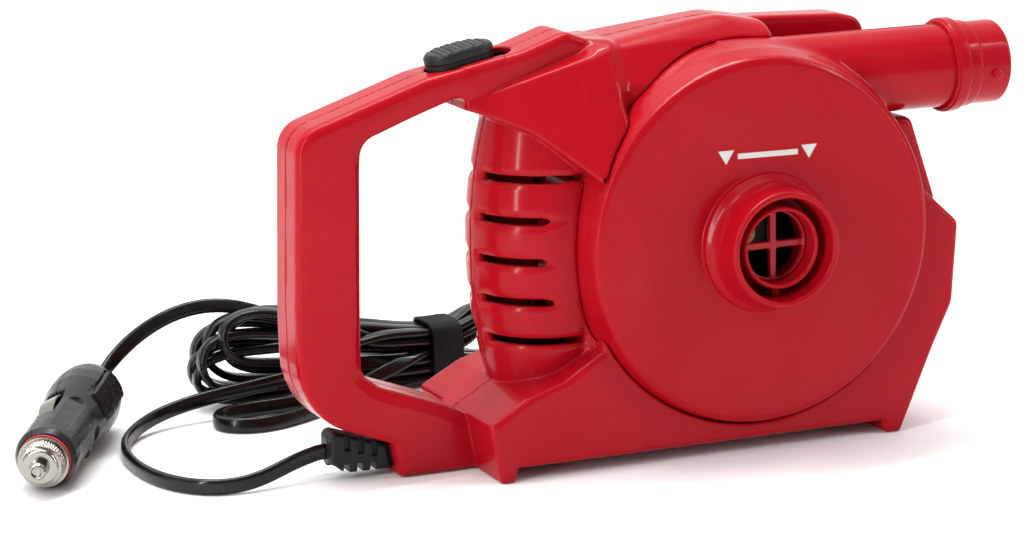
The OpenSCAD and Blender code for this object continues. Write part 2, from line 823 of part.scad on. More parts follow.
module plug_body(side) {
    difference() {
        union() {
            turned(plug_profile);
            for (s = [-1, 1], k = [0:8])
                translate([12 + 2.2 * k, s * 11.2, 0]) rotate([0, 90, 0])
                    cylinder(h = 1.3, r = 1.6);
        }
        // Bore for spring, fuse and pin
        translate([bore_x, 0, 0]) rotate([0, 90, 0]) cylinder(h = 60, r = 3.5);
        translate([-2, 0, 0]) rotate([0, 90, 0]) cylinder(h = 14, r = 3.3);
        translate([8, -5, -5]) cube([10.4, 10, 10]);
        // Side slots for the leaf contacts
        for (z = [-15.4, 5.4])
            translate([36, -3.4, z]) cube([22, 6.8, 10]);
        translate([-10, side > 0 ? -19.97 : -0.03, -20]) cube([100, 20, 40]);
        translate([plug_screw_x, -8.1, 0]) rotate([-90, 0, 0]) cylinder(h = 16.1, r = 1.45);
        translate([plug_screw_x, -20, 0]) rotate([-90, 0, 0]) cylinder(h = 12, r = 2.8);
    }
}

plug_screw_x = 14.5;

module plug_left_half() {
    color(black) place() on_plug() plug_body(1);
}

module plug_right_half() {
    color(black) place() on_plug() plug_body(-1);
}

// Ribbed sleeve round the cord, held in the two halves
module plug_gland() {
    color(black) place() on_plug() {
        for (k = [0:2])
            translate([-10.8 + 3 * k, 0, 0]) rotate([0, 90, 0])
                cylinder(h = 1.9, r = 3.7 + 0.35 * k);
        translate([-1.6, 0, 0]) rotate([0, 90, 0]) cylinder(h = 1.5, r = 4.9);
        translate([-11, 0, 0]) rotate([0, 90, 0]) cylinder(h = 18, r = 3.2);
    }
}

module plug_screw() {
    color(nickel) place() on_plug() translate([plug_screw_x, -8.05, 0]) rotate([-90, 0, 0]) {
        translate([0, 0, -1.6]) cylinder(h = 1.6, r = 2.6);
        cylinder(h = 15, r = 1.4);
    }
}

module plug_washer() {
    color([0.7, 0.05, 0.08]) place() on_plug() translate([barrel_len + 0.02, 0, 0])
        rotate([0, 90, 0]) difference() {
            cylinder(h = 0.9, r = 8.7);
            translate([0, 0, -1]) cylinder(h = 4, r = 4.2);
        }
}

module plug_ring() {
    color(nickel) place() on_plug() translate([barrel_len + 0.94, 0, 0])
        rotate([0, 90, 0]) difference() {
            cylinder(h = 1.5, r = 8.5);
            translate([0, 0, -1]) cylinder(h = 4, r = 4.2);
        }
}

// Knurled cone that screws on and holds the tip
module plug_nut() {
    teeth = 36;
    color(nickel) place() on_plug() difference() {
        translate([barrel_len + 2.46, 0, 0]) turned([[0, 3.05], [0, 7.6], [4.2, 6.9], [5, 6],
            [5.6, 5.8], [5.6, 3.05]]);
        for (k = [0:teeth - 1])
            rotate([360 * k / teeth, 0, 0]) translate([barrel_len + 2, -0.2, 7.25])
                rotate([0, 9, 0]) cube([5, 0.4, 1]);
    }
}

module plug_tip() {
    back = fuse_x + fuse_len + 0.2;
    color(nickel) place() on_plug() turned([[back, 0], [back, 3.4], [barrel_len + 2, 3.4],
        [barrel_len + 2, 3], [barrel_len + 12, 3], [barrel_len + 13, 2.5],
        [barrel_len + 13, 1.8], [barrel_len + 12.4, 0]]);
}

// Coils of the spring that presses the fuse and the tip outwards
module plug_spring() {
    color(nickel) place() on_plug() for (k = [0:6])
        translate([bore_x + 0.6 + 1.8 * k, 0, 0]) rotate([0, 90, 0]) difference() {
            cylinder(h = 0.7, r = 3.1);
            translate([0, 0, -1]) cylinder(h = 3, r = 2.4);
        }
}

module plug_fuse() {
    color([0.8, 0.82, 0.8]) place() on_plug() translate([fuse_x, 0, 0]) rotate([0, 90, 0])
        cylinder(h = fuse_len, r = 2.6);
}

// Leaf contact: a bowed nickel strip that presses out of the barrel's side slot
module leaf() {
    outer = [for (k = [0:8]) let (t = k / 8) [36.8 + 20.4 * t, 9.1 + 2.4 * sin(180 * t)]];
    inner = [for (k = [8:-1:0]) let (t = k / 8) [36.8 + 20.4 * t, 8.5 + 2.4 * sin(180 * t)]];
    translate([0, 2.9, 0]) rotate([90, 0, 0]) linear_extrude(5.8)
        polygon(concat(outer, inner));
}

module plug_contact_left() {
    color(nickel) place() on_plug() leaf();
}

module plug_contact_right() {
    color(nickel) place() on_plug() rotate([180, 0, 0]) leaf();
}

front_shell();
rear_shell();
volute_cover();
volute_base();
outlet_nozzle();
intake_guard();
impeller();
impeller_bush();
motor_shaft();
motor_can();
motor_magnets();
armature();
windings();
commutator();
motor_end_bell();
front_bearing();
rear_bearing();
brushes();
motor_screws();
motor_cushion();
switch_button();
switch_slider();
switch_case();
switch_terminals();
feed_wire();
motor_wire();
return_wire();
strain_relief();
shell_screws();
cord_lead();
cord_hank();
cord_tail();
hank_tie();
plug_left_half();
plug_right_half();
plug_gland();
plug_screw();
plug_washer();
plug_ring();
plug_nut();
plug_tip();
plug_spring();
plug_fuse();
plug_contact_left();
plug_contact_right();
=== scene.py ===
"""Looks of a 12 V air mattress pump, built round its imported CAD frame.

Shapes are worked out in pump millimetres: x = 0 is the fan axis, y = 0 the parting plane of the
shells, z = 0 the ground. place() turns them into the row frame, in metres.
"""
import math

import bpy
import numpy as np
from mathutils import Matrix, Vector


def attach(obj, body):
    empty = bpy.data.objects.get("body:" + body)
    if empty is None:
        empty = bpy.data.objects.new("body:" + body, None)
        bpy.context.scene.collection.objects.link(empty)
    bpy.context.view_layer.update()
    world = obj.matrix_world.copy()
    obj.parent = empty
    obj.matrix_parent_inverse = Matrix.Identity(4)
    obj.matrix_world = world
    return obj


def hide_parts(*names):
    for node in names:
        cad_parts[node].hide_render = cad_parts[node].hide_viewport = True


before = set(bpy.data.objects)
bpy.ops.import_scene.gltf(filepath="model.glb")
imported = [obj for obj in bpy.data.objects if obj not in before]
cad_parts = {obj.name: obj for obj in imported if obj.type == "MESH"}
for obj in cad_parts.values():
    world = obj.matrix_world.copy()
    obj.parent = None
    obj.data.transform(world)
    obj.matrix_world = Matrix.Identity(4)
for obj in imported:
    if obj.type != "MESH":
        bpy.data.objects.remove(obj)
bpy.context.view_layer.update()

MM = 1000.0                    # millimetres in a metre
PUMP_ORIGIN = (29.0, 6.0, 0.0)  # the pump's own origin in the row frame, in mm
FAN_Z = 72.7                   # height of the fan axis
PIPE_Y, PIPE_Z = -15.0, 122.8  # axis of the outlet pipe
WALL = 2.4                     # thickness of the shells
SHELL_GRID = 0.8               # grid step of the big mouldings
SMALL_GRID = 0.36              # grid step of the small ones
rng = np.random.default_rng(7)


def place(p):
    """Pump millimetres to the row frame in metres."""
    return (np.asarray(p, float) + PUMP_ORIGIN) / MM


# ---- Camera ----

CAMERA_AT = (-523.0, -1051.4, 318.9)
CAMERA_AZIMUTH, CAMERA_ELEVATION, CAMERA_ROLL = -23.024, 12.634, -0.954
CAMERA_LENS, CAMERA_SENSOR = 123.5, 36


def make_camera():
    a, e = math.radians(CAMERA_AZIMUTH), math.radians(CAMERA_ELEVATION)
    roll = math.radians(CAMERA_ROLL)
    back = Vector((math.sin(a) * math.cos(e), -math.cos(a) * math.cos(e), math.sin(e)))
    right = (-back).cross(Vector((0, 0, 1))).normalized()
    up = right.cross(-back)
    right, up = (right * math.cos(roll) + up * math.sin(roll),
                 up * math.cos(roll) - right * math.sin(roll))
    cam = bpy.data.objects.new("camera", bpy.data.cameras.new("camera"))
    cam.data.lens = CAMERA_LENS
    cam.data.sensor_width = CAMERA_SENSOR
    cam.data.clip_start, cam.data.clip_end = 0.05, 20
    turned_axes = Matrix((right, up, back)).transposed().to_4x4()
    cam.matrix_world = Matrix.Translation(Vector(place(CAMERA_AT))) @ turned_axes
    bpy.context.scene.collection.objects.link(cam)
    bpy.context.scene.camera = cam


make_camera()


# ---- Meshes ----

def add_piece(name, verts, faces, body, material, slot, stands_for=(), normals=None, sharp=40):
    """A new piece from vertices in pump millimetres and a list or array of faces."""
    me = bpy.data.meshes.new(name)
    if isinstance(faces, np.ndarray):
        n, k = faces.shape
        me.vertices.add(len(verts))
        me.vertices.foreach_set("co", place(verts).astype(np.float32).ravel())
        me.loops.add(n * k)
        me.loops.foreach_set("vertex_index", faces.astype(np.int32).ravel())
        me.polygons.add(n)
        me.polygons.foreach_set("loop_start", np.arange(n, dtype=np.int32) * k)
        me.update(calc_edges=True)
    else:
        me.from_pydata([tuple(v) for v in place(verts)], [], faces)
        me.update()
    me.polygons.foreach_set("use_smooth", np.ones(len(me.polygons), bool))
    if normals is not None:
        me.normals_split_custom_set_from_vertices(normals.astype(np.float32))
    elif sharp:
        me.set_sharp_from_angle(angle=math.radians(sharp))
    me.materials.append(material)
    o = bpy.data.objects.new(name, me)
    bpy.context.scene.collection.objects.link(o)
    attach(o, body)
    if stands_for:
        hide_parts(*stands_for)
    return o


# ---- Materials ----

def new_material(name, color, rough, metal=0.0, coat=0.0, grain=(900.0, 0.1), rough_spread=0.08,
                 tone=0.06, blotch=60.0, weave=0.0, specular=0.5, transmission=0.0):
    """A principled surface whose tone and roughness vary, with a fine bump of its own.

    grain is the bump's scale and strength; weave adds bands of its own scale to it.
    """
    m = bpy.data.materials.new(name)
    m.use_nodes = True
    nt = m.node_tree
    b = nt.nodes["Principled BSDF"]
    b.inputs["Metallic"].default_value = metal
    b.inputs["Coat Weight"].default_value = coat
    b.inputs["Coat Roughness"].default_value = 0.06
    b.inputs["Specular IOR Level"].default_value = specular
    b.inputs["Transmission Weight"].default_value = transmission
    link = nt.links.new
    coord = nt.nodes.new("ShaderNodeTexCoord")

    def noise(scale, detail):
        n = nt.nodes.new("ShaderNodeTexNoise")
        n.inputs["Scale"].default_value = scale
        n.inputs["Detail"].default_value = detail
        link(coord.outputs["Object"], n.inputs["Vector"])
        return n

    broad = noise(blotch, 4.0)
    ramp = nt.nodes.new("ShaderNodeValToRGB")
    dark = [c * (1 - tone) for c in color]
    light = [min(c * (1 + tone) + 0.004, 1) for c in color]
    ramp.color_ramp.elements[0].position = 0.3
    ramp.color_ramp.elements[0].color = (*dark, 1)
    ramp.color_ramp.elements[1].position = 0.7
    ramp.color_ramp.elements[1].color = (*light, 1)
    link(broad.outputs["Fac"], ramp.inputs["Fac"])
    link(ramp.outputs["Color"], b.inputs["Base Color"])
    smear = noise(blotch * 3.1, 6.0)
    spread = nt.nodes.new("ShaderNodeMapRange")
    spread.inputs["From Min"].default_value = 0.3
    spread.inputs["From Max"].default_value = 0.7
    spread.inputs["To Min"].default_value = max(rough - rough_spread, 0.02)
    spread.inputs["To Max"].default_value = rough + rough_spread
    link(smear.outputs["Fac"], spread.inputs["Value"])
    link(spread.outputs["Result"], b.inputs["Roughness"])
    fine = noise(grain[0], 2.0)
    height = fine.outputs["Fac"]
    if weave:
        wave = nt.nodes.new("ShaderNodeTexWave")
        wave.inputs["Scale"].default_value = weave
        wave.inputs["Distortion"].default_value = 1.5
        link(coord.outputs["Object"], wave.inputs["Vector"])
        both = nt.nodes.new("ShaderNodeMath")
        both.operation = "ADD"
        link(wave.outputs["Fac"], both.inputs[0])
        link(fine.outputs["Fac"], both.inputs[1])
        height = both.outputs[0]
    bump = nt.nodes.new("ShaderNodeBump")
    bump.inputs["Strength"].default_value = grain[1]
    bump.inputs["Distance"].default_value = 0.0002
    link(height, bump.inputs["Height"])
    link(bump.outputs["Normal"], b.inputs["Normal"])
    return m


RED = new_material("red_abs", (0.335, 0.0016, 0.0075), 0.19, coat=0.06, grain=(260, 0.018),
                   specular=0.09, rough_spread=0.03, tone=0.025, blotch=30)
CROSS = new_material("red_cross", (0.36, 0.003, 0.009), 0.25, coat=0.1, grain=(700, 0.06),
                     specular=0.2)
BLACK = new_material("black_matt", (0.006, 0.006, 0.0065), 0.42, grain=(2600, 0.4), tone=0.2,
                     specular=0.25)
PLUG_SATIN = new_material("plug_body", (0.005, 0.0045, 0.005), 0.3, coat=0.05,
                          grain=(1800, 0.12), specular=0.2, tone=0.2)
SHEATH = new_material("sheath", (0.0025, 0.0025, 0.0025), 0.22, coat=0.12, grain=(900, 0.06),
                      specular=0.22, rough_spread=0.07, tone=0.25)
STRAP = new_material("strap", (0.004, 0.004, 0.0045), 0.62, specular=0.12, grain=(3000, 0.6),
                     weave=700, tone=0.3)
NICKEL = new_material("nickel", (0.3, 0.285, 0.255), 0.15, metal=1, grain=(1500, 0.1),
                      rough_spread=0.07, tone=0.06)
STEEL = new_material("steel", (0.56, 0.56, 0.57), 0.3, metal=1, grain=(1700, 0.2), tone=0.1)
PLATED = new_material("plated_case", (0.6, 0.61, 0.62), 0.34, metal=1, grain=(1200, 0.15))
COPPER = new_material("copper", (0.8, 0.38, 0.2), 0.3, metal=1, grain=(2400, 0.5), weave=1400)
BRASS = new_material("brass", (0.78, 0.58, 0.26), 0.28, metal=1, grain=(1500, 0.12))
CARBON = new_material("carbon", (0.03, 0.03, 0.03), 0.6, grain=(2500, 0.4), tone=0.25)
MAGNET = new_material("ferrite", (0.07, 0.07, 0.075), 0.5, grain=(1800, 0.35), tone=0.2)
FAN = new_material("fan_plastic", (0.02, 0.02, 0.022), 0.35, grain=(1200, 0.2), tone=0.2)
PALE = new_material("pale_plastic", (0.72, 0.69, 0.6), 0.45, grain=(1500, 0.2))
CASE = new_material("phenolic", (0.1, 0.055, 0.035), 0.5, grain=(1400, 0.3), tone=0.2)
RED_WIRE = new_material("red_wire", (0.5, 0.02, 0.02), 0.35, grain=(1500, 0.1))
FIBRE = new_material("washer_fibre", (0.5, 0.02, 0.015), 0.55, grain=(2600, 0.4), tone=0.15)
RUBBER = new_material("rubber", (0.006, 0.006, 0.006), 0.5, specular=0.25, grain=(2200, 0.4),
                      tone=0.2)
GLASS = new_material("fuse_glass", (0.9, 0.93, 0.92), 0.05, grain=(300, 0.02), tone=0.02,
                     rough_spread=0.02, transmission=0.9)
PAINT = new_material("white_print", (0.6, 0.585, 0.57), 0.4, grain=(2200, 0.15), tone=0.03)


# ---- The cord: one flat two-core cord, from the strain relief to the plug ----

CORD_EXIT = (-144.1, 0, 9.5)
LEAD = [CORD_EXIT, (-150, 0, 9), (-158, -1, 6.6), (-167, -3, 4), (-176, -4, 2.9),
        (-184, -2.5, 2.8), (-191, 4, 2.8), (-196, 14, 2.8), (-198.5, 27, 2.8), (-198.5, 42, 2.8),
        (-195, 59, 2.8), (-187, 74, 3.4), (-175, 83.5, 5.6), (-161, 87.5, 7.7), (-148, 89, 9),
        (-137, 90, 10), (-126, 91.5, 11), (-114, 94, 11.6), (-104, 97, 12)]
TAIL = [(-188.9, 107.7, 14), (-186.4, 111.6, 15.2), (-182, 115.2, 18.4), (-175.5, 117.4, 23.4),
        (-167.5, 117.6, 28.6), (-158.5, 116.2, 33), (-148, 114, 35.4), (-137, 112, 34.6),
        (-126, 111, 30.8), (-114, 110, 26.6), (-102, 109, 23.9)]
SLACK = [(-92, 92, 7.5), (-112, 80, 3.6), (-128, 70, 2.8), (-140, 64.6, 2.8), (-150, 64.6, 2.8),
         (-157.4, 70.4, 2.8), (-158.4, 79, 2.8), (-151.6, 85.6, 2.8), (-140, 87.2, 2.8),
         (-128, 87.4, 2.8), (-110, 90, 3), (-90, 95, 3.2)]
# The tie holds the runs in columns (y) and rows (z), between its two ends (x)
TIE_LEFT, TIE_RIGHT = -67, -55
COLUMNS = (99.6, 105.0, 110.4)
LOW_ROWS = (3.0, 6.4, 9.8)
HIGH_ROWS = (13.2, 16.6, 20.0)
# Where each run lies: (column, low row) on the way out, (column, high row) back
OUT_SLOTS = [(0, 2), (1, 0), (0, 1), (0, 0), (2, 1), (1, 1), (2, 0), (1, 2), (2, 2)]
BACK_SLOTS = [(1, 0), (0, 1), (0, 0), (2, 0), (0, 2), (1, 1), (2, 1), (1, 2), (2, 2)]
# Left folds between one turn and the next: x, top, bottom, y; None is the slack turn
LEFT_FOLDS = [(-158, 23, 3.4, 106), (-156.5, 28, 6, 100.5), None, (-152, 33, 8.5, 107),
              (-158, 20.5, 3, 101.5), (-149, 35.6, 16.5, 99.6), (-146.5, 34.2, 12, 104.5),
              (-155, 30, 4.6, 110)]
# Right folds of the turns: x, bottom, top
RIGHT_FOLDS = [(-31, 3.4, 25), (-29, 2.8, 27), (-30, 2.8, 27.5), (-28, 3, 28), (-30, 4, 27),
               (-28.5, 3.6, 29), (-31, 3, 26), (-29.6, 4, 28.6), (-29, 3.4, 27)]
LAST_RUN = (-84, 109, 21.4)
CORD_THICK = 2.8
CORD_WIDTH = 5.4
CORE_OFFSET = (CORD_WIDTH - CORD_THICK) / 2
CORD_STEP = 2.4


def catmull(points, step):
    """A smooth curve through points (rows of any width), resampled to an even step."""
    p = np.asarray(points, float)
    p = np.vstack([2 * p[0] - p[1], p, 2 * p[-1] - p[-2]])
    t = np.linspace(0, 1, 24, endpoint=False)[:, None]
    out = [0.5 * (2 * b + (c - a) * t + (2 * a - 5 * b + 4 * c - d) * t ** 2
                  + (3 * b - a - 3 * c + d) * t ** 3)
           for a, b, c, d in zip(p, p[1:], p[2:], p[3:])]
    p = np.vstack([*out, p[-2]])
    s = np.concatenate([[0], np.cumsum(np.linalg.norm(np.diff(p[:, :3], axis=0), axis=1))])
    at = np.linspace(0, s[-1], int(s[-1] / step) + 1)
    return np.stack([np.interp(at, s, p[:, k]) for k in range(p.shape[1])], 1)


def ease(t):
    return t * t * (3 - 2 * t)


def run_points(fold, slot, towards_left):
    """Points of a run between a left fold's end (x, y, z) and its slot in the tie."""
    pts = []
    for t in (0.2, 0.42, 0.62, 0.82):
        k = ease(t)
        x = slot[0] + (fold[0] - slot[0]) * t
        y = slot[1] + (fold[1] - slot[1]) * k + rng.uniform(-0.4, 0.4)
        z = slot[2] + (fold[2] - slot[2]) * k + rng.uniform(-0.4, 0.4)
        pts.append((x, y, z, 1, 0.15))
    return pts if towards_left else pts[::-1]


def in_tie(slot, rows):
    column, row = slot
    return COLUMNS[column], rows[row]


def left_fold(fold, start, end):
    """A turn at the hank's left, from one place in the tie to the next."""
    x, top, bottom, y = fold
    half, mid = (top - bottom) / 2, (top + bottom) / 2
    reach = half * 1.05
    pts = run_points((x + reach, y, top), start, True)
    for a in (90, 135, 180, 225, 270):
        pts.append((x + reach + reach * math.cos(math.radians(a)), y,
                    mid + half * math.sin(math.radians(a)), 1, 0.1))
    return pts + run_points((x + reach, y, bottom), end, False)


def hank_points():
    """The turns, as rows of x, y, z and the cord's wide direction in y and z."""
    pts = []
    for i, (x, low, high) in enumerate(RIGHT_FOLDS):
        y, z = in_tie(OUT_SLOTS[i], LOW_ROWS)
        back_y, back_z = in_tie(BACK_SLOTS[i], HIGH_ROWS)
        pts += [(TIE_LEFT, y, z, 1, 0), (TIE_RIGHT, y, z, 1, 0)]
        half, mid = (high - low) / 2, (high + low) / 2
        for a in (-90, -45, 0, 45, 90):
            k = (a + 90) / 180
            pts.append((x - half * 0.9 + half * 0.9 * math.cos(math.radians(a)),
                        y + (back_y - y) * k, mid + half * math.sin(math.radians(a)), 1, 0))
        pts += [(TIE_RIGHT, back_y, back_z, 1, 0), (TIE_LEFT, back_y, back_z, 1, 0)]
        if i == len(LEFT_FOLDS):
            pts.append((*LAST_RUN, 1, 0.3))
        elif LEFT_FOLDS[i] is None:
            pts += [(*p, 0.25, 1) for p in SLACK]
        else:
            pts += left_fold(LEFT_FOLDS[i], (TIE_LEFT, back_y, back_z),
                             (TIE_LEFT, *in_tie(OUT_SLOTS[i + 1], LOW_ROWS)))
    return pts


def settle(p, fixed, rounds=60, near=3.3, along=12, flatten=0.62):
    """Pushes the hank's strands apart where they run into each other, and smooths them.

    Points within a few steps along the cord aren't pushed. Strands lie wide side down, so
    distances across them count for less.
    """
    p = p.copy()
    n = len(p)
    index = np.arange(n)
    apart = np.abs(index[:, None] - index[None, :]) > along
    for _ in range(rounds):
        q = p * (1, flatten, 1)
        d2 = ((q[:, None, :] - q[None, :, :]) ** 2).sum(2)
        i, j = np.nonzero((d2 < near * near) & apart)
        keep = i < j
        i, j = i[keep], j[keep]
        v = q[i] - q[j]
        d = np.sqrt((v ** 2).sum(1))[:, None] + 1e-6
        push = v / d * (near - d) * 0.22
        move = np.zeros_like(p)
        count = np.zeros((n, 1))
        np.add.at(move, i, push)
        np.add.at(move, j, -push)
        np.add.at(count, i, 1)
        np.add.at(count, j, 1)
        move /= np.maximum(count, 1)
        move *= (1, 1.3, 1)
        smooth = np.zeros_like(p)
        smooth[1:-1] = (p[:-2] + p[2:]) / 2 - p[1:-1]
        step = move + 0.12 * smooth
        step[fixed] = 0
        p += step
        p[:, 2] = np.clip(p[:, 2], np.where(fixed, p[:, 2], 1.6), 35.9)
    return p


def cord_centreline():
    """The centreline at an even step, and the cord's wide direction at each point in y and z."""
    lead = [(*p, 0, 1) for p in LEAD]
    tail = [(*p, 0.75 - 0.07 * k, 0.5 + 0.06 * k) for k, p in enumerate(TAIL[::-1])]
    rows = catmull(lead + hank_points() + tail, CORD_STEP)
    p, wide = rows[:, :3], rows[:, 3:]
    s = np.arange(len(p)) * CORD_STEP
    at_exit = s < 8
    on_lead = (s < 300) & (p[:, 0] < -112) & (p[:, 1] < 93)
    on_tail = s > s[-1] - 105
    held = np.abs(p[:, 0] + 60.5) < 8
    p = settle(p, on_lead | on_tail | held | at_exit)
    for _ in range(8):
        p[2:-2] = 0.5 * p[2:-2] + 0.25 * (p[1:-3] + p[3:-1])
    p[:, 2] = np.where(at_exit, p[:, 2], np.maximum(p[:, 2], 2.75))
    gone = np.concatenate([[0], np.cumsum(np.linalg.norm(np.diff(p, axis=0), axis=1))])
    even = np.linspace(0, gone[-1], len(p))
    return (np.stack([np.interp(even, gone, p[:, c]) for c in range(3)], 1),
            np.stack([np.interp(even, gone, wide[:, c]) for c in range(2)], 1))


def cord_axes(p, wide):
    """Unit vectors across the cord's wide side and across its flat side."""
    t = np.gradient(p, axis=0)
    t /= np.linalg.norm(t, axis=1)[:, None]
    w = np.stack([np.zeros(len(p)), wide[:, 0], wide[:, 1]], 1)
    w -= (w * t).sum(1)[:, None] * t
    for _ in range(6):
        w[1:-1] = (w[:-2] + w[1:-1] + w[2:]) / 3
    w -= (w * t).sum(1)[:, None] * t
    w /= np.linalg.norm(w, axis=1)[:, None]
    return w, np.cross(t, w)


def cord_section(k):
    """Two round cores side by side with a groove between them, as k points."""
    a = np.linspace(0, 2 * math.pi, k, endpoint=False) + math.pi / k
    middle = np.where(np.cos(a) > 0, CORE_OFFSET, -CORE_OFFSET)
    r = CORD_THICK / 2
    x = middle + r * np.cos(a) * np.where(np.abs(np.cos(a)) > 0.35, 1, 0.6)
    y = r * np.sin(a) * np.where(np.abs(x) < 1.1, 0.55 + 0.45 * np.abs(x) / 1.1, 1)
    order = np.argsort(np.arctan2(y, x))
    return x[order], y[order]


def make_cord(k=20):
    """The cord's piece, its centreline and its length, in pump millimetres."""
    p, wide = cord_centreline()
    w, u = cord_axes(p, wide)
    x, y = cord_section(k)
    rings = p[:, None, :] + w[:, None, :] * x[None, :, None] + u[:, None, :] * y[None, :, None]
    n = len(p)
    i = np.arange(n - 1)[:, None] * k
    j = np.arange(k)[None, :]
    j2 = (j + 1) % k
    quads = np.stack([i + j, i + j2, i + k + j2, i + k + j], -1).reshape(-1, 4)
    faces = [tuple(q) for q in quads.tolist()]
    faces.append(tuple(range(k))[::-1])
    faces.append(tuple((n - 1) * k + c for c in range(k)))
    o = add_piece("flat_cord", rings.reshape(-1, 3), faces, "housing", SHEATH, "cord_sheath",
                  ("cord_lead", "cord_hank", "cord_tail"), sharp=80)
    return o, p, float(np.linalg.norm(np.diff(p, axis=0), axis=1).sum())


cord, cord_line, cord_length = make_cord()


# ---- Signed distances ----

def smin(a, b, k):
    """The smaller of two distances, with their meeting rounded over about k."""
    h = np.maximum(k - np.abs(a - b), 0) / k
    return np.minimum(a, b) - h * h * k / 4


def smax(a, b, k):
    """The larger of two distances, with their meeting rounded over about k."""
    return -smin(-a, -b, k)


def clip01(t):
    return np.clip(t, 0, 1)


def rounded(corners, per_radian=6):
    """An outline whose corners (x, z, radius) are rounded by arcs."""
    out = []
    m = len(corners)
    for i, (bx, bz, r) in enumerate(corners):
        b = np.array((bx, bz), float)
        if not r:
            out.append(b)
            continue
        u = np.array(corners[i - 1][:2]) - b
        v = np.array(corners[(i + 1) % m][:2]) - b
        u, v = u / np.linalg.norm(u), v / np.linalg.norm(v)
        half = math.acos(np.clip(u @ v, -1, 1)) / 2
        centre = b + (u + v) / np.linalg.norm(u + v) * r / math.sin(half)
        s, f = b + u * r / math.tan(half) - centre, b + v * r / math.tan(half) - centre
        a0 = math.atan2(s[1], s[0])
        sweep = (math.atan2(f[1], f[0]) - a0 + 3 * math.pi) % (2 * math.pi) - math.pi
        steps = max(2, int(abs(sweep) * per_radian))
        for k in range(steps + 1):
            a = a0 + sweep * k / steps
            out.append(centre + r * np.array((math.cos(a), math.sin(a))))
    return np.array(out)


def outline_distance(poly, x, z, reach=6.0):
    """Distance to a closed outline, negative inside; far from it, the distance to its box."""
    x, z = np.broadcast_arrays(x, z)
    lo, hi = poly.min(0), poly.max(0)
    far = np.hypot(np.maximum(np.maximum(lo[0] - x, x - hi[0]), 0),
                   np.maximum(np.maximum(lo[1] - z, z - hi[1]), 0))
    near = far < reach
    px, pz = x[near], z[near]
    best = np.full(px.shape, 1e9)
    inside = np.zeros(px.shape, bool)
    for (ax, az), (bx, bz) in zip(poly, np.roll(poly, -1, axis=0)):
        dx, dz = bx - ax, bz - az
        ll = dx * dx + dz * dz
        if ll < 1e-12:
            continue
        t = np.clip(((px - ax) * dx + (pz - az) * dz) / ll, 0, 1)
        best = np.minimum(best, (px - ax - t * dx) ** 2 + (pz - az - t * dz) ** 2)
        if az != bz:
            inside ^= ((az > pz) != (bz > pz)) & (px < dx * (pz - az) / dz + ax)
    out = far.astype(float)
    out[near] = np.where(inside, -1, 1) * np.sqrt(best)
    return out


# Outlines of the shells in x and z, and the core's cross-section in y and z
BASE = rounded([(-94.5, 0, 1), (-89.5, 0, 1), (-88.3, 4.5, 0), (47, 4.5, 0), (48.5, 0, 1),
                (54, 0, 1), (75, 43, 9), (77, 71, 4), (63, 84, 0), (-56, 84, 0), (-57, 40, 0),
                (-70, 32, 6), (-84, 27.5, 4), (-98, 19.7, 1.5)])
CORE = rounded([(-60, 12, 0), (56, 12, 0), (72, 79, 0), (62, 109, 2), (62, 122, 10),
                (55, 139, 6), (47, 140.8, 6), (12, 142.4, 10), (-2.5, 145.4, 8), (-28, 142, 20),
                (-46, 139.4, 4), (-52, 139, 4), (-57, 134, 3), (-60, 132, 0), (-60, 100, 0)])
CORE_SIDE = rounded([(-24, 11, 1), (27, 11, 1), (27, 128, 5), (20, 138, 6), (10, 146, 4),
                     (-6, 146, 4), (-15, 138.6, 8), (-24, 126, 5)])
SPINE = rounded([(-96, 121, 0), (-88, 118, 4), (-76, 112.5, 8), (-58, 97, 0), (-46, 92, 0),
                 (-46, 139, 0), (-48, 139.4, 4), (-60, 144, 6), (-75.7, 138.7, 12),
                 (-96, 134.9, 0)])
HANDLE = rounded([(-121.5, 0, 1.5), (-88, 0, 0), (-88, 25, 0), (-96.5, 18.4, 4),
                  (-107, 23.8, 12), (-128.5, 31.8, 8), (-134.4, 36.8, 5), (-132.7, 113.2, 7),
                  (-114.3, 120, 0), (-97.5, 125.6, 5), (-91, 120, 0), (-82, 120, 0),
                  (-82, 137.5, 0), (-110, 132.2, 20), (-154.4, 117.5, 10), (-156.2, 60, 60),
                  (-155.8, 24, 26), (-123.5, 11.6, 2.6)])
OPENING = rounded([(-82, 20, 0), (-96.5, 18.4, 4), (-107, 23.8, 12), (-128.5, 31.8, 8),
                   (-134.4, 36.8, 5), (-132.7, 113.2, 7), (-114.3, 120, 0),
                   (-97.5, 125.6, 5), (-91, 120, 0), (-70, 120, 0)][::-1])
HANDLE_HALF = 11.5
BASE_TOP_HALF, BASE_HALF = 31, 33
# Screws: x, z and the seat's depth, which is less in the handle
HANDLE_SEAT, BODY_SEAT = 7, 9
SCREWS = [(-145, 100, HANDLE_SEAT), (-145, 48, HANDLE_SEAT), (-106, 12.5, HANDLE_SEAT),
          (-83, 13, BODY_SEAT), (52, 15, BODY_SEAT), (70.2, 64, BODY_SEAT),
          (-64, 126, BODY_SEAT)]
SWITCH_X, SWITCH_Z, SWITCH_SLOPE = -93.5, 135.33, math.radians(10.73)
VENTS, VENT_LOW, VENT_PITCH, VENT_R = 5, 43.2, 13.6, 1.2
GRILLE_PITCH, GRILLE_R = 7, 27
DOME_R, DOME_Y = 33, 40
COVER_R = 65.25                # the round opening in the front shell


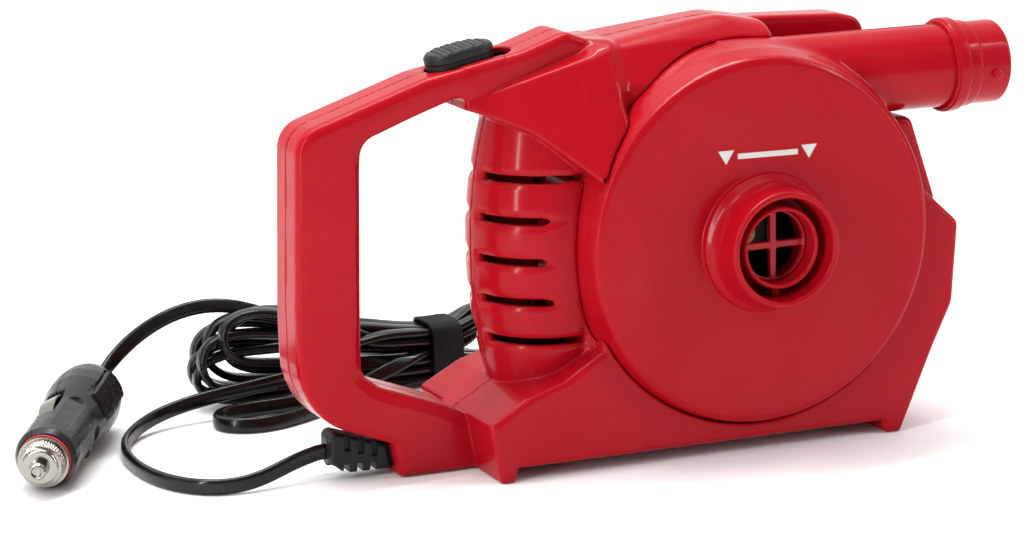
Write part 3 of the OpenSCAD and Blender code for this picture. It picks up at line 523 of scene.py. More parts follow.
def handle_form(x, ay, z):
    loop = outline_distance(HANDLE, x, z)
    hole = np.maximum(outline_distance(OPENING, x, z, 9), 0)
    upright = ease(clip01((-122 - x) / 8)) * ease(clip01((z - 37) / 9)) * ease(
        clip01((111 - z) / 9))
    cut = (0.3 - 0.02 * upright) * np.maximum(4.3 - hole, 0) * (1 - upright) + (
        0.8 * upright) * np.maximum(2.3 - hole, 0)
    edge = 0.9 + 2.9 * ease(clip01((hole - 3) / 5))
    return smax(loop, ay - HANDLE_HALF + cut, edge)


def barrel_form(x, y, z):
    """The vented end wall, sunk a little round each slot."""
    waist = 26 - (z - FAN_Z) ** 2 / 320
    barrel = smax((np.hypot(x + 65, y) - waist) * 0.98, np.abs(z - 72.5) - 48.5, 1.0)
    return barrel + 0.5 * (1 - ease(clip01(vent_distance(y, z) / 2.4)))


def base_form(x, ay, z):
    outline = outline_distance(BASE, x, z)
    side = ay - (BASE_HALF - (BASE_HALF - BASE_TOP_HALF) * clip01(z / 28))
    base = smax(outline, side, 0.8)
    return smax(base, (outline + side) * 0.7071 + 0.9, 0.5)


def core_form(x, y, z):
    """The block behind the round face, open above it where the pipe runs."""
    core = smax(outline_distance(CORE, x, z), outline_distance(CORE_SIDE, y, z), 3.5)
    above = smax(smax(14 - x, y, 2), 107.5 - z, 2)
    return smax(core, -above, 2.5)


def shoulder_form(x, ay, z, spine):
    """A plane facet that widens from the handle to the round cover."""
    panel = 0.869 * (ay - 12) - 0.318 * (x + 88.9) + 0.3775 * (z - 126)
    ledge = (z - 126 - 0.315 * (x + 88.9)) * 0.954
    brow = 0.814 * (ay - 17.2) + 0.581 * (z - 138.6)
    return smax(smax(panel, ledge, 1.3), smax(spine, brow, 6), 2.2)


def form(x, y, z):
    """The shells' common outer form."""
    ay = np.abs(y)
    d = smin(handle_form(x, ay, z), barrel_form(x, y, z), 1.2)
    d = smin(d, base_form(x, ay, z), 0.7)
    d = smin(d, core_form(x, y, z), 1.5)
    spine = outline_distance(SPINE, x, z)
    d = smin(d, smax(spine, ay - HANDLE_HALF, 3.4), 1.0 + 2.5 * ease(clip01((x + 58) / 8)))
    shoulder = shoulder_form(x, ay, z, spine)
    return smin(d, shoulder, 0.8 + 3.2 * ease(clip01((x + 62) / 16)))


def vent_distance(y, z):
    """Distance in y and z from the nearest slot of the end wall."""
    k = np.clip(np.round((z - VENT_LOW) / VENT_PITCH), 0, VENTS - 1)
    along = np.maximum(np.abs(np.abs(y) - 13.75) - 8.55, 0)
    return np.hypot(along, z - VENT_LOW - VENT_PITCH * k) - VENT_R


def openings(s, x, y, z):
    """Cuts that both shells share: vents, the switch's slot and the cord's hole."""
    s = smax(s, -smax(vent_distance(y, z), np.abs(x + 79) - 19, 0.2), 0.8)
    c, n = math.cos(SWITCH_SLOPE), math.sin(SWITCH_SLOPE)
    lx = (x - SWITCH_X) * c + (z - SWITCH_Z) * n
    lz = (z - SWITCH_Z) * c - (x - SWITCH_X) * n
    slot = np.hypot(np.maximum(np.abs(lx - 2.75) - 7.55, 0), y) - 7.5
    s = smax(s, -smax(slot, -6 - lz, 0.2), 0.7)
    room = np.maximum(np.maximum(np.abs(lx - 3.4) - 22, np.abs(y) - 9), np.abs(lz + 4.7) - 2.3)
    s = smax(s, -room, 0.2)
    hole = np.maximum(np.maximum(np.abs(x + 122.4) - 4, np.abs(y) - 5.1), np.abs(z - 7) - 3.7)
    return smax(s, -hole, 0.2)


def front_distance(x, y, z):
    d = form(x, y, z)
    rho = np.hypot(x, z - FAN_Z)
    s = smax(d, -(d + WALL), 0.3)
    s = smax(s, COVER_R - 0.14 * np.maximum(-15.5 - y, 0) - rho, 0.9)
    # An inner wall closes the gap behind the cover's rim
    ring = smax(np.abs(rho - COVER_R - 1.1) - 1.05, d + 0.6, 0.5)
    s = smin(s, smax(ring, -33 - y, 0.3), 0.3)
    pipe = np.hypot(y - PIPE_Y, z - PIPE_Z) - 14.6
    s = smax(s, -smax(pipe, np.abs(x - 40) - 40, 0.5), 0.5)
    return smax(openings(s, x, y, z), y + 0.05, 0.55)


def grille_distance(x, z):
    """Distance in x and z from the nearest slot of the rear dome."""
    k = np.clip(np.round((z - FAN_Z) / GRILLE_PITCH), -3, 3)
    half = np.sqrt(np.maximum(GRILLE_R ** 2 - (GRILLE_PITCH * k) ** 2, 0)) - 3.2
    return np.hypot(np.maximum(np.abs(x) - half, 0), z - FAN_Z - GRILLE_PITCH * k) - 1.2


def rear_distance(x, y, z):
    d = form(x, y, z)
    rho = np.hypot(x, z - FAN_Z)
    dome = smax(rho - DOME_R, y - DOME_Y, 3.5)
    collar = smax(rho - 37, np.abs(y - 28) - 6, 2.2)
    out = smin(smin(d, smax(dome, 20 - y, 1), 2.0), collar, 1.2)
    inside_dome = smax(rho - DOME_R + WALL, y - DOME_Y + WALL, 0.5)
    s = smax(out, -smin(d + WALL, inside_dome, 0.3), 0.3)
    for screw_x, screw_z, seat in SCREWS:
        r = np.hypot(x - screw_x, z - screw_z)
        boss_r = 3.9 if seat == HANDLE_SEAT else 4.6
        s = smin(s, smax(smax(r - boss_r, d, 0.3), 0.1 - y, 0.2), 0.4)
        s = smax(s, -smax(r - 3.2, seat - y, 0.2), 0.5)
        s = smax(s, 1.55 - r, 0.2)
    s = smax(s, -smax(grille_distance(x, z), 35 - y, 0.2), 0.7)
    return smax(openings(s, x, y, z), 0.05 - y, 0.55)


# The cover's cross-section: distance from the fan axis, and depth in front of the parting plane
COVER = rounded([(20, 34.1, 0), (59, 34.1, 0), (60.4, 27, 2), (61.6, 15, 0), (65, 15, 0.4),
                 (63.7, 27, 8), (61.9, 34.3, 1.6), (61.2, 35.7, 1), (59.6, 36.5, 1.2),
                 (20, 36.5, 0)])


def pipe_part(x, y, z, front):
    """The front or the back half of the outlet pipe, without its bore."""
    pipe = np.hypot(y - PIPE_Y, z - PIPE_Z) - 14.3
    side = y - PIPE_Y if front else PIPE_Y + 0.05 - y
    return smax(smax(pipe, side, 0.2), np.abs(x - 35) - 41.8, 0.3)


def pipe_bore(s, x, y, z):
    bore = np.hypot(y - PIPE_Y, z - PIPE_Z)
    return smax(s, -smax(bore - 12.25, -8 - x, 0.2), 0.2)


def cover_distance(x, y, z):
    rho = np.hypot(x, z - FAN_Z)
    s = smin(outline_distance(COVER, rho, -y), pipe_part(x, y, z, True), 2.4)
    s = smax(s, -smax(rho - 59.5, -34.1 - y, 0.2), 0.2)
    s = smax(s, y - PIPE_Y, 0.25)
    return smax(pipe_bore(s, x, y, z), 20.5 - rho, 0.1)


def base_distance(x, y, z):
    rho = np.hypot(x, z - FAN_Z)
    cup = smax(rho - 65, smax(-14.95 - y, y + 0.6, 0.4), 0.4)
    s = smin(cup, pipe_part(x, y, z, False), 2.0)
    s = smax(s, -smax(rho - 62.6, y + 3, 0.3), 0.3)
    s = smax(s, 6.8 - rho, 0.1)
    return pipe_bore(s, x, y, z)


CUBE = [(a, b, c) for a in (0, 1) for b in (0, 1) for c in (0, 1)]


def net_points(f):
    """The grid cells that the surface crosses, and in each the middle of its crossings."""
    n = f.shape
    inside = f < 0
    count = sum(inside[a:n[0] - 1 + a, b:n[1] - 1 + b, c:n[2] - 1 + c].astype(np.int8)
                for a, b, c in CUBE)
    cell = np.argwhere((count > 0) & (count < 8))
    value = np.stack([f[cell[:, 0] + a, cell[:, 1] + b, cell[:, 2] + c] for a, b, c in CUBE], 1)
    total = np.zeros((len(cell), 3))
    hits = np.zeros(len(cell))
    for i in range(8):
        for j in range(i + 1, 8):
            if sum(p != q for p, q in zip(CUBE[i], CUBE[j])) != 1:
                continue
            va, vb = value[:, i], value[:, j]
            cross = (va < 0) != (vb < 0)
            t = np.where(cross, va / np.where(cross, va - vb, 1), 0)
            a, b = np.array(CUBE[i], float), np.array(CUBE[j], float)
            total += np.where(cross[:, None], a + t[:, None] * (b - a), 0)
            hits += cross
    return cell, cell + total / hits[:, None]


def net_quads(f, cell):
    """A quad across every grid edge that the surface crosses, as rows of cell numbers."""
    inside = f < 0
    ids = -np.ones(tuple(k - 1 for k in f.shape), np.int32)
    ids[cell[:, 0], cell[:, 1], cell[:, 2]] = np.arange(len(cell))
    quads = []
    for k in range(3):
        a, b = [slice(1, -1)] * 3, [slice(1, -1)] * 3
        a[k], b[k] = slice(0, -1), slice(1, None)
        first, second = inside[tuple(a)], inside[tuple(b)]
        at = np.argwhere(first != second)
        flip = second[at[:, 0], at[:, 1], at[:, 2]]
        at = at + 1
        at[:, k] -= 1
        du, dv = np.zeros(3, int), np.zeros(3, int)
        du[(k + 1) % 3], dv[(k + 2) % 3] = 1, 1
        q = np.stack([ids[tuple((at - s).T)] for s in (du + dv, dv, 0 * du, du)], 1)
        q[flip] = q[flip][:, ::-1]
        quads.append(q)
    return np.vstack(quads)


def gradient(distance, p, e):
    g = np.empty_like(p)
    for k in range(3):
        d = np.zeros(3)
        d[k] = e
        g[:, k] = (distance(*(p + d).T) - distance(*(p - d).T)) / (2 * e)
    return g


def surface(distance, lo, hi, step):
    """Points, quads and normals of a signed distance's surface between two corners.

    Surface nets on a grid give the points, which then move onto the exact surface.
    """
    lo, hi = np.array(lo, float), np.array(hi, float)
    n = np.ceil((hi - lo) / step).astype(int) + 1
    ax = [lo[k] + step * np.arange(n[k]) for k in range(3)]
    f = distance(ax[0][:, None, None], ax[1][None, :, None], ax[2][None, None, :])
    f = np.ascontiguousarray(np.broadcast_to(f, n)).astype(np.float32)
    cell, middle = net_points(f)
    p = lo + step * middle
    e = step * 0.15
    g = gradient(distance, p, e)
    for _ in range(2):
        move = distance(*p.T) / np.maximum((g ** 2).sum(1), 0.25)
        p = p - np.clip(move, -0.6 * step, 0.6 * step)[:, None] * g
    g = gradient(distance, p, e)
    g /= np.maximum(np.linalg.norm(g, axis=1), 1e-6)[:, None]
    return p, net_quads(f, cell), g


def moulded(name, distance, lo, hi, step, body, material, slot, stands_for, to_pump=None):
    """A piece shaped by a signed distance, in pump millimetres or in a frame of its own."""
    p, quads, g = surface(distance, lo, hi, step)
    if to_pump is not None:
        p, g = p @ to_pump[:3, :3].T + to_pump[:3, 3], g @ to_pump[:3, :3].T
    return add_piece(name, p, quads, body, material, slot, stands_for, normals=g)


for name, distance, lo, hi in (
        ("front_shell", front_distance, (-158.4, -35, -1.2), (80, 0.9, 147.6)),
        ("rear_shell", rear_distance, (-158.4, -0.9, -1.2), (80, 42, 147.6)),
        ("volute_cover", cover_distance, (-67, -38, 6), (78, -13.6, 139.5)),
        ("volute_base", base_distance, (-67, -16.6, 6), (78, 1, 139.5))):
    moulded(name + "_moulded", distance, lo, hi, SHELL_GRID, "housing", RED, "red_plastic",
            (name,))


# ---- Turned pieces ----

def axis_matrix(origin, x_dir):
    """A frame whose local x runs along x_dir, which isn't vertical."""
    x = np.array(x_dir, float)
    x /= np.linalg.norm(x)
    y = np.cross((0, 0, 1), x)
    y /= np.linalg.norm(y)
    m = np.eye(4)
    m[:3, 0], m[:3, 1], m[:3, 2], m[:3, 3] = x, y, np.cross(x, y), origin
    return m


def soften(profile, amount=0.25, steps=3):
    """Rounds the corners of a profile whose rows are x, r and, if it differs, the rounding."""
    out = []
    for i, row in enumerate(profile):
        b = np.array(row[:2], float)
        r = row[2] if len(row) > 2 else amount
        if i in (0, len(profile) - 1) or not r:
            out.append(b)
            continue
        a, c = np.array(profile[i - 1][:2], float), np.array(profile[i + 1][:2], float)
        u, v = a - b, c - b
        lu, lv = np.linalg.norm(u), np.linalg.norm(v)
        r = min(r, 0.45 * lu, 0.45 * lv)
        for k in range(steps + 1):
            t = k / steps
            out.append(b + (1 - t) ** 2 * r * u / lu + t ** 2 * r * v / lv)
    return out


def turned(profile, matrix, segments=96, ripple=None):
    """Vertices and faces of a lathe body about local x; ripple(x, r, angle) may change r."""
    pts = np.array(profile)
    a = np.linspace(0, 2 * math.pi, segments, endpoint=False)
    x = np.repeat(pts[:, 0][:, None], segments, 1)
    r = np.repeat(pts[:, 1][:, None], segments, 1)
    if ripple:
        r = ripple(x, r, a[None, :])
    v = np.stack([x, r * np.cos(a), r * np.sin(a)], -1).reshape(-1, 3)
    v = v @ matrix[:3, :3].T + matrix[:3, 3]
    i = np.arange(len(pts) - 1)[:, None] * segments
    j = np.arange(segments)[None, :]
    j2 = (j + 1) % segments
    q = np.stack([i + j, i + segments + j, i + segments + j2, i + j2], -1).reshape(-1, 4)
    return v, q


def joined(parts):
    """Several vertex and face arrays as one pair."""
    verts, faces, n = [], [], 0
    for v, q in parts:
        verts.append(v)
        faces.append(q + n)
        n += len(v)
    return np.vstack(verts), np.vstack(faces)


FRONT = axis_matrix((0, 0, FAN_Z), (0, -1, 0))
OUTLET = axis_matrix((0, PIPE_Y, PIPE_Z), (1, 0, 0))

# Port: flared outer tube, floor and inner ring in one profile, from outside to inside
port_profile = soften([(36.3, 24.3, 0), (36.5, 23.9, 0.2), (36.9, 23.5, 0.2), (38.6, 23.3, 0.35),
                       (40.6, 21.3, 1.2), (44.5, 19.75, 2.0), (51.0, 19.6, 0.3),
                       (52.0, 19.1, 0.5), (52.0, 17.8, 0.4), (51.3, 17.2, 0.4), (36.0, 16.9, 0.8),
                       (36.0, 14.2, 0.8), (47.4, 13.9, 0.3), (48.0, 13.4, 0.3), (48.0, 12.7, 0.3),
                       (47.4, 12.2, 0.3), (33.4, 12.25, 0)], steps=4)
add_piece("deflate_port", *turned(port_profile, FRONT, 128), "housing", RED, "red_plastic",
          (), sharp=60)


def rib_distance(x, y, z):
    """The small rib below the port's inner ring."""
    r = np.maximum(np.maximum(np.abs(x) - 1.1, np.abs(z - 57.2) - 2.4), np.abs(y + 39.5) - 4.2)
    rho = np.hypot(x, z - FAN_Z)
    inner = smax(np.abs(rho - 13.0) - 0.1, np.abs(y + 40) - 3.5, 0.4)
    return smin(r, inner, 1.6) - 0.25


moulded("port_rib", rib_distance, (-5, -45, 53), (5, -34.6, 61.5), 0.3,
        "housing", RED, "red_plastic", ())


def guard_distance(x, y, z):
    """The cross in the port and the thin ring that holds it."""
    dz = z - FAN_Z
    rho = np.hypot(x, dz)
    ring = smax(np.abs(rho - 11.65) - 0.45, np.abs(y + 40.7) - 1.2, 0.3)
    bars = smin(np.abs(x) - 1.2, np.abs(dz) - 1.2, 1.0)
    bars = smax(smax(bars, np.abs(y + 40.6) - 1.1, 0.5), rho - 11.6, 0.2)
    return smin(ring, bars, 1.0)


moulded("port_cross_moulded", guard_distance, (-12.8, -42.5, 59.9), (12.8, -38.8, 85.5),
        SMALL_GRID, "housing", CROSS, "port_cross", ("intake_guard",))

# Outlet: stepped collar, spigot and the two bayonet pins
nozzle_profile = soften([(70.2, 12.0, 0), (70.2, 13.0, 0.1), (76.25, 13.05, 0), (76.25, 15.2, 0.3),
                         (76.5, 15.6, 0.2), (77.2, 15.6, 0.1), (77.25, 16.0, 0.2),
                         (77.8, 16.2, 0.4), (81.2, 16.2, 0.6), (81.8, 15.6, 0.4),
                         (81.9, 14.9, 0.2), (86.0, 14.9, 0.4), (86.5, 14.3, 0.3),
                         (97.2, 14.3, 0.4), (98.0, 13.9, 0.4), (98.0, 12.6, 0.4),
                         (97.4, 12.0, 0.4), (70.2, 12.0, 0)], steps=4)
pin_profile = soften([(13.2, 1.6, 0), (15.6, 1.6, 0.3), (16.0, 1.1, 0.4), (16.0, 0.001, 0)])
pins = [turned(pin_profile, axis_matrix((92, PIPE_Y, PIPE_Z - 2.2 * s), (0, -s, 0)), 32)
        for s in (1, -1)]
add_piece("outlet_collar", *joined([turned(nozzle_profile, OUTLET, 128), *pins]), "housing", RED,
          "red_plastic", ("outlet_nozzle",), sharp=60)


# ---- Switch button, strain relief and tie ----

button_frame = np.eye(4)
button_frame[:3, :3] = [[math.cos(SWITCH_SLOPE), 0, -math.sin(SWITCH_SLOPE)], [0, 1, 0],
                        [math.sin(SWITCH_SLOPE), 0, math.cos(SWITCH_SLOPE)]]
button_frame[:3, 3] = (SWITCH_X, 0, SWITCH_Z)
RIDGE_PITCH = 3.9


def button_distance(x, y, z):
    """A crowned cap with five saw-tooth ridges, on a neck and a wide skirt inside the handle."""
    plan = np.hypot(np.maximum(np.abs(x) - 4.8, 0), y) - 7.2
    crown = 5.75 - 0.9 * (x / 12) ** 2 - 0.25 * (y / 7.2) ** 2
    from_groove = x - RIDGE_PITCH * np.clip(np.round(x / RIDGE_PITCH), -2, 2)
    ridges = 0.75 * clip01(1 - np.abs(from_groove) / 0.62)
    ridges = ridges + 0.3 * clip01((from_groove + RIDGE_PITCH / 2) / RIDGE_PITCH)
    top = z - crown + ridges * clip01((7.0 - np.abs(y)) / 1.2)
    cap = smax(plan, top, 0.4)
    cap = smax(cap, (plan + z - crown) * 0.7071 + 0.85, 0.4)
    cap = smax(cap, plan + 0.25 * clip01((1.9 - z) / 0.3), 0.2)
    cap = smax(cap, -z - 0.5, 0.3)
    neck = smax(plan + 0.5, np.abs(z + 1.5) - 1.9, 0.2)
    skirt = np.maximum(np.maximum(np.abs(x - 0.5) - 18.3, np.abs(y) - 8.4),
                       np.abs(z + 3.6) - 0.4) - 0.2
    return smin(smin(cap, neck, 0.2), skirt, 0.3)


moulded("switch_button_moulded", button_distance, (-18.6, -9.2, -4.9), (19.6, 9.2, 6.4),
        SMALL_GRID, "button", BLACK, "black_plastic", ("switch_button",), button_frame)

RELIEF = rounded([(-139, 2.6, 2), (-122.4, 2.2, 0), (-124.2, 10.6, 0), (-143.8, 17.4, 2.5),
                  (-144, 6.5, 2)])


def relief_distance(x, y, z):
    """The strain relief: a wedge with three rows of notches, a tongue and a lip."""
    d = smax(outline_distance(RELIEF, x, z), np.abs(y) - 5.5, 1.6)
    for k in range(3):
        low = np.maximum(np.abs(x + 138.4 - 4.6 * k) - 1.0, z - 5.6)
        pocket = np.maximum(np.maximum(np.abs(x + 138.1 - 4.8 * k) - 1.0,
                                       np.abs(z - 12.6 + 1.4 * k) - 2.3), 4.1 - np.abs(y))
        d = smax(smax(d, -low, 0.4), -pocket, 0.4)
    tongue = np.maximum(np.maximum(np.abs(x + 120) - 5, np.abs(y) - 4.8), np.abs(z - 7) - 3.4)
    lip = smax(np.hypot((z - 9.5) / 1.35, y) - 3.6, np.abs(x + 142.9) - 1.1, 0.5)
    return smin(smin(d, tongue, 0.3), lip, 0.8)


moulded("strain_relief_moulded", relief_distance, (-144.6, -6.2, 1.6), (-114.6, 6.2, 18), 0.4,
        "housing", BLACK, "black_plastic", ("strain_relief",))


def strap_ring(a, u, thick):
    """One ring of the strap at u, from 0 to 1 across its width; thick is below 0 inside."""
    half_y, half_z, cy, cz, squareness = 11.0, 11.35, 105.0, 12.1, 0.42
    c, s = np.cos(a), np.sin(a)
    y = (half_y + thick) * np.sign(c) * np.abs(c) ** squareness
    z = (half_z + thick) * np.sign(s) * np.abs(s) ** squareness
    wobble = 0.35 * np.sin(3 * a + 5 * u) * math.sin(math.pi * u)
    creases = -0.35 * math.exp(-((u - 0.52) / 0.05) ** 2) - 0.25 * math.exp(
        -((u - 0.27) / 0.04) ** 2)
    shrink = 1 + (wobble - 0.35 + creases) * 0.02
    x = -67.2 + 11.4 * u + 0.25 * np.sin(2 * a + 1)
    return np.stack([x, cy + y * shrink, np.maximum(cz + z * shrink, 0.25 - thick)], 1)


def make_tie(n=96, m=14):
    """A strap wound twice round the hank's waist, with creases."""
    a = np.linspace(0, 2 * math.pi, n, endpoint=False)
    verts = [strap_ring(a, j / m, thick) for thick in (0.0, -0.8) for j in range(m + 1)]
    i = np.arange(n)
    nxt = (i + 1) % n
    faces = []

    def band(one, two, flip):
        q = np.stack([one * n + i, one * n + nxt, two * n + nxt, two * n + i], 1)
        faces.append(q[:, ::-1] if flip else q)

    for layer in (0, 1):
        for j in range(m):
            band(layer * (m + 1) + j, layer * (m + 1) + j + 1, layer == 0)
    for j in (0, m):
        band(j, m + 1 + j, j == m)
    return add_piece("hank_strap", np.vstack(verts), np.vstack(faces), "housing", STRAP,
                     "black_plastic", ("hank_tie",), sharp=50)


strap = make_tie()


# ---- Accessory plug; local x runs from the head to the tip ----

PLUG_HEAD = (-194, 98, 13.6)
PLUG_YAW, PLUG_TILT, PLUG_ROLL = -118, 2.2, 27
PLUG_GRID = 0.45


def turn(axis, degrees):
    a = math.radians(degrees)
    i, j = [(1, 2), (2, 0), (0, 1)][axis]
    m = np.eye(4)
    m[i, i] = m[j, j] = math.cos(a)
    m[i, j], m[j, i] = -math.sin(a), math.sin(a)
    return m


PLUG = turn(2, PLUG_YAW) @ turn(1, PLUG_TILT) @ turn(0, PLUG_ROLL)
PLUG[:3, 3] = PLUG_HEAD
BODY = rounded([(0, -20, 0), (0, 7.6, 1), (1.3, 9.6, 0.8), (4, 10.8, 3), (9, 11.9, 5),
                (16, 12.5, 6), (24, 12.4, 7), (33, 11.5, 10), (43, 10.4, 10), (77.4, 10.45, 1.6),
                (80, 9.2, 0.6), (80, -20, 0)][::-1])


def plug_distance(x, y, z):
    """Both halves of the plug's body, whose seam lies at y = 0."""
    rho = np.hypot(y, z)
    ay, az = np.abs(y), np.abs(z)
    d = outline_distance(BODY, x, rho, 4)
    d = smax(d, 0.4 - np.hypot(x - 3.1, rho - 10.7), 0.5)
    # A ribbed grip pad on each side, with a groove round it
    wave = 0.34 * np.cos(2 * math.pi * (x - 12.5) / 2.05)
    swell = 0.3 * clip01((x - 14) / 10) * clip01((34 - x) / 6)
    pad = smax(rho - 12.9 - wave - swell, az - 5.1, 0.8)
    pad = smax(smax(pad, np.abs(x - 22.4) - 12.3, 0.7), 6 - ay, 0.2)
    moat = smax(np.abs(smax(az - 5.6, np.abs(x - 22.4) - 12.8, 0.8)) - 0.28, 8 - ay, 0.2)
    d = smin(smax(d, -smax(moat, 11.3 - rho, 0.2), 0.4), pad, 0.25)
    # Four flutes along the barrel, two slots for the contacts and the screw's counterbore
    out = ay * 0.766 + az * 0.643
    flute = np.hypot(np.maximum(np.abs(x - 58) - 13.5, 0), ay * 0.643 - az * 0.766) - 2.9
    d = smax(d, -smax(flute, 9.7 - out, 0.3), 0.5)
    slot = smax(smax(ay - 3.35, np.abs(x - 47) - 11.2, 0.5), 6.2 - az, 0.2)
    d = smax(d, -slot, 0.35)
    screw = smax(np.hypot(x - 14.5, z) - 2.8, y + 8.1, 0.2)
    return smax(d, -screw, 0.3)


def plug_half(side):
    def distance(x, y, z):
        return smax(plug_distance(x, y, z), 0.03 - side * y, 0.3)
    return distance


plug_left = moulded("plug_left_moulded", plug_half(1), (-0.8, -0.6, -14), (80.8, 14, 14),
                    PLUG_GRID, "housing", PLUG_SATIN, "plug_plastic", ("plug_left_half",), PLUG)
plug_right = moulded("plug_right_moulded", plug_half(-1), (-0.8, -14, -14), (80.8, 0.6, 14),
                     PLUG_GRID, "housing", PLUG_SATIN, "plug_plastic", ("plug_right_half",), PLUG)
gland_profile = soften([(-11, 2.3, 0), (-11, 3.5, 0.3), (-9.7, 3.8, 0.3), (-9.4, 3.1, 0.3),
                        (-8.5, 3.2, 0.3), (-8.2, 4.1, 0.3), (-6.8, 4.3, 0.3), (-6.5, 3.4, 0.3),
                        (-5.6, 3.5, 0.3), (-5.3, 4.5, 0.3), (-3.9, 4.7, 0.3), (-3.6, 3.8, 0.3),
                        (-2.7, 3.9, 0.3), (-2.4, 5.0, 0.3), (-0.4, 5.2, 0.3), (0.3, 5.2, 0)])
gland = add_piece("plug_gland_ribbed", *turned(gland_profile, PLUG, 64), "housing", RUBBER,
                  "rubber", ("plug_gland",), sharp=55)


def knurl(x, r, a):
    """Diamond knurling on the nut's waist."""
    zone = ease(clip01((x - 82.7) / 0.3)) * ease(clip01((86.5 - x) / 0.3))
    p = np.cos(26 * a + 3.2 * x) * np.cos(26 * a - 3.2 * x)
    return r + 0.22 * zone * p


nut_rows = soften([(82.46, 3.1, 0), (82.46, 7.2, 0.2), (82.6, 7.6, 0.1)], steps=2)
nut_rows += [np.array((x, 7.6 - 0.17 * (x - 82.6))) for x in np.arange(82.75, 86.6, 0.16)]
nut_rows += soften([(86.6, 6.9, 0), (86.7, 6.0, 0.2), (87.4, 6.05, 0.2), (88.06, 5.6, 0.3),
                    (88.06, 3.05, 0)], steps=3)
nut = add_piece("plug_nut_knurled", *turned(nut_rows, PLUG, 312, knurl), "housing", NICKEL,
                "nickel", ("plug_nut",), sharp=45)
tip_rows = soften([(65.9, 0.001, 0), (65.9, 3.4, 0.3), (82, 3.4, 0.2), (82, 3.0, 0.1),
                   (91.6, 3.0, 0.4), (93, 2.5, 0.7), (93, 1.7, 0.3),
                   (92.3, 1.5, 0.3), (92.2, 0.001, 0)], steps=4)
tip = add_piece("plug_tip_turned", *turned(tip_rows, PLUG, 64), "tip", NICKEL, "nickel",
                ("plug_tip",), sharp=60)


# ---- Printed marks on the face: two triangles and a bar ----

def make_mark(name, corners, front=-36.61, back=-36.16):
    n = len(corners)
    verts = [(x, y, z) for y in (front, back) for x, z in corners]
    faces = [tuple(range(n)), tuple(range(2 * n - 1, n - 1, -1))]
    faces += [(i, (i + 1) % n, n + (i + 1) % n, n + i)[::-1] for i in range(n)]
    add_piece(name, np.array(verts, float), faces, "housing", PAINT, "red_plastic", (), sharp=20)


HALF_WIDE, HALF_HIGH = 2.9, 2.3
for side, cx, cz in (("left", -14.7, 102.3), ("right", 16.0, 101.9)):
    make_mark("mark_" + side, [(cx - HALF_WIDE, cz + HALF_HIGH), (cx, cz - HALF_HIGH),
                               (cx + HALF_WIDE, cz + HALF_HIGH)])
make_mark("mark_bar", [(-10.4, 101.5), (11.8, 101.2), (11.8, 103.0), (-10.4, 103.3)])


# ---- Finishes and softened edges for the CAD nodes that stay ----

def finish_node(name, material, bevel, sharp=35):
    """Material, smooth shading and, if bevel isn't 0, edges softened by that many mm."""
    o = bpy.data.objects[name]
    o.data.polygons.foreach_set("use_smooth", np.ones(len(o.data.polygons), bool))
    o.data.set_sharp_from_angle(angle=math.radians(sharp))
    if o.material_slots:
        for s in o.material_slots:
            s.material = material
    else:
        o.data.materials.append(material)
    if bevel:
        b = o.modifiers.new("edges", "BEVEL")
        b.width = bevel / MM
        b.segments = 2
        b.limit_method = "ANGLE"
        b.angle_limit = math.radians(sharp)
        b.use_clamp_overlap = True


for name, material, bevel in (
        ("impeller", FAN, 0.25), ("impeller_bush", BRASS, 0.15), ("motor_shaft", STEEL, 0.15),
        ("motor_can", CASE, 0.3), ("motor_magnets", MAGNET, 0.15), ("armature", STEEL, 0.1),
        ("windings", COPPER, 0.3), ("commutator", COPPER, 0.1), ("motor_end_bell", BLACK, 0.3),
        ("front_bearing", BRASS, 0.1), ("rear_bearing", BRASS, 0.1), ("brushes", CARBON, 0.1),
        ("motor_screws", PLATED, 0.15), ("motor_cushion", RUBBER, 0.3),
        ("switch_slider", PALE, 0.1), ("switch_case", PALE, 0.25),
        ("switch_terminals", BRASS, 0.1), ("feed_wire", RED_WIRE, 0.0),
        ("motor_wire", RED_WIRE, 0.0), ("return_wire", SHEATH, 0.0),
        ("shell_screws", PLATED, 0.2), ("plug_screw", PLATED, 0.2), ("plug_washer", FIBRE, 0.1),
        ("plug_ring", NICKEL, 0.2), ("plug_spring", STEEL, 0.1),
        ("plug_fuse", GLASS, 0.2), ("plug_contact_left", NICKEL, 0.12),
        ("plug_contact_right", NICKEL, 0.12)):
    finish_node(name, material, bevel)


# ---- Studio ----

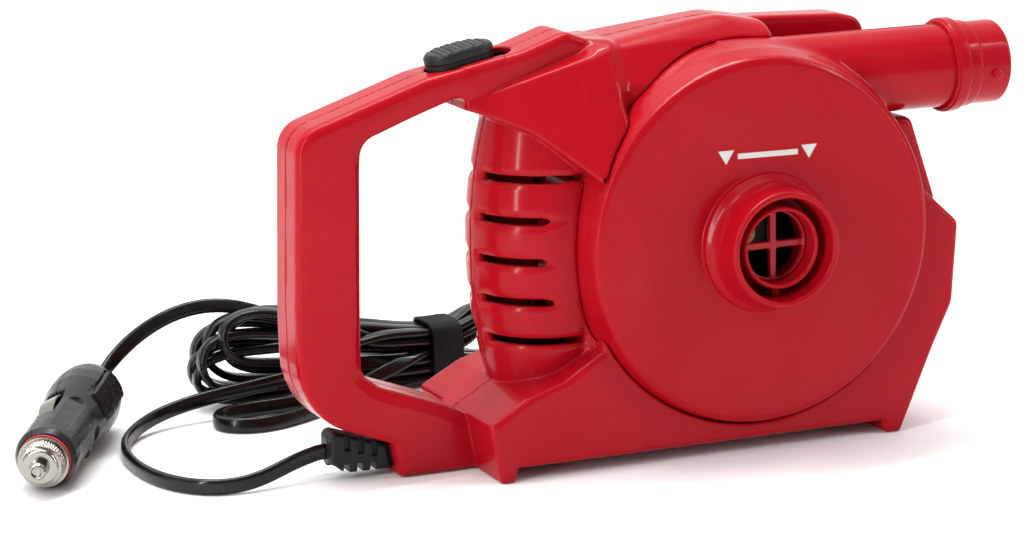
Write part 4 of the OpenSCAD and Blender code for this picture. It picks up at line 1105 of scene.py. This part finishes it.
def make_room():
    """A white sweep behind the object and a dim room in front of it."""
    world = bpy.data.worlds.new("studio")
    bpy.context.scene.world = world
    world.use_nodes = True
    nt = world.node_tree
    bg = nt.nodes["Background"]
    coord = nt.nodes.new("ShaderNodeTexCoord")
    split = nt.nodes.new("ShaderNodeSeparateXYZ")
    sweep = nt.nodes.new("ShaderNodeMapRange")
    sweep.interpolation_type = "SMOOTHSTEP"
    for key, value in (("From Min", -0.35), ("From Max", 0.35), ("To Min", 0.28),
                       ("To Max", 1.1)):
        sweep.inputs[key].default_value = value
    nt.links.new(coord.outputs["Generated"], split.inputs["Vector"])
    nt.links.new(split.outputs["Y"], sweep.inputs["Value"])
    nt.links.new(sweep.outputs["Result"], bg.inputs["Strength"])
    bg.inputs["Color"].default_value = (1, 1, 1, 1)


def make_floor(half=4):
    m = bpy.data.materials.new("paper")
    m.use_nodes = True
    b = m.node_tree.nodes["Principled BSDF"]
    b.inputs["Base Color"].default_value = (0.86, 0.86, 0.86, 1)
    b.inputs["Roughness"].default_value = 0.7
    me = bpy.data.meshes.new("paper")
    me.from_pydata([(-half, -half, 0), (half, -half, 0), (half, half, 0), (-half, half, 0)],
                   [], [(0, 1, 2, 3)])
    me.materials.append(m)
    floor = bpy.data.objects.new("paper", me)
    bpy.context.scene.collection.objects.link(floor)


def make_lights():
    """Three strips aimed at the pump, each with its place, size and watts, and a soft ceiling."""
    aim = Vector((-0.03, 0, 0.07))
    for name, at, size, watts in (("top", (-0.1, 0.2, 1.0), (0.9, 0.1), 8),
                                  ("left_strip", (-0.8, -0.4, 0.35), (0.06, 0.9), 6),
                                  ("right_strip", (0.8, -0.5, 0.45), (0.05, 0.8), 4)):
        d = bpy.data.lights.new(name, "AREA")
        d.shape = "RECTANGLE"
        d.size, d.size_y = size
        d.energy = watts
        o = bpy.data.objects.new(name, d)
        o.location = at
        o.rotation_mode = "QUATERNION"
        o.rotation_quaternion = (aim - Vector(at)).to_track_quat("-Z", "Y")
        bpy.context.scene.collection.objects.link(o)
    sun = bpy.data.lights.new("ceiling", "SUN")
    sun.energy = 1.7
    sun.angle = math.radians(70)
    ceiling = bpy.data.objects.new("ceiling", sun)
    ceiling.rotation_euler = (math.radians(-12), math.radians(-8), 0)
    bpy.context.scene.collection.objects.link(ceiling)


make_room()
make_floor()
make_lights()
bpy.context.scene.view_settings.view_transform = "Standard"
bpy.context.scene.view_settings.look = "None"
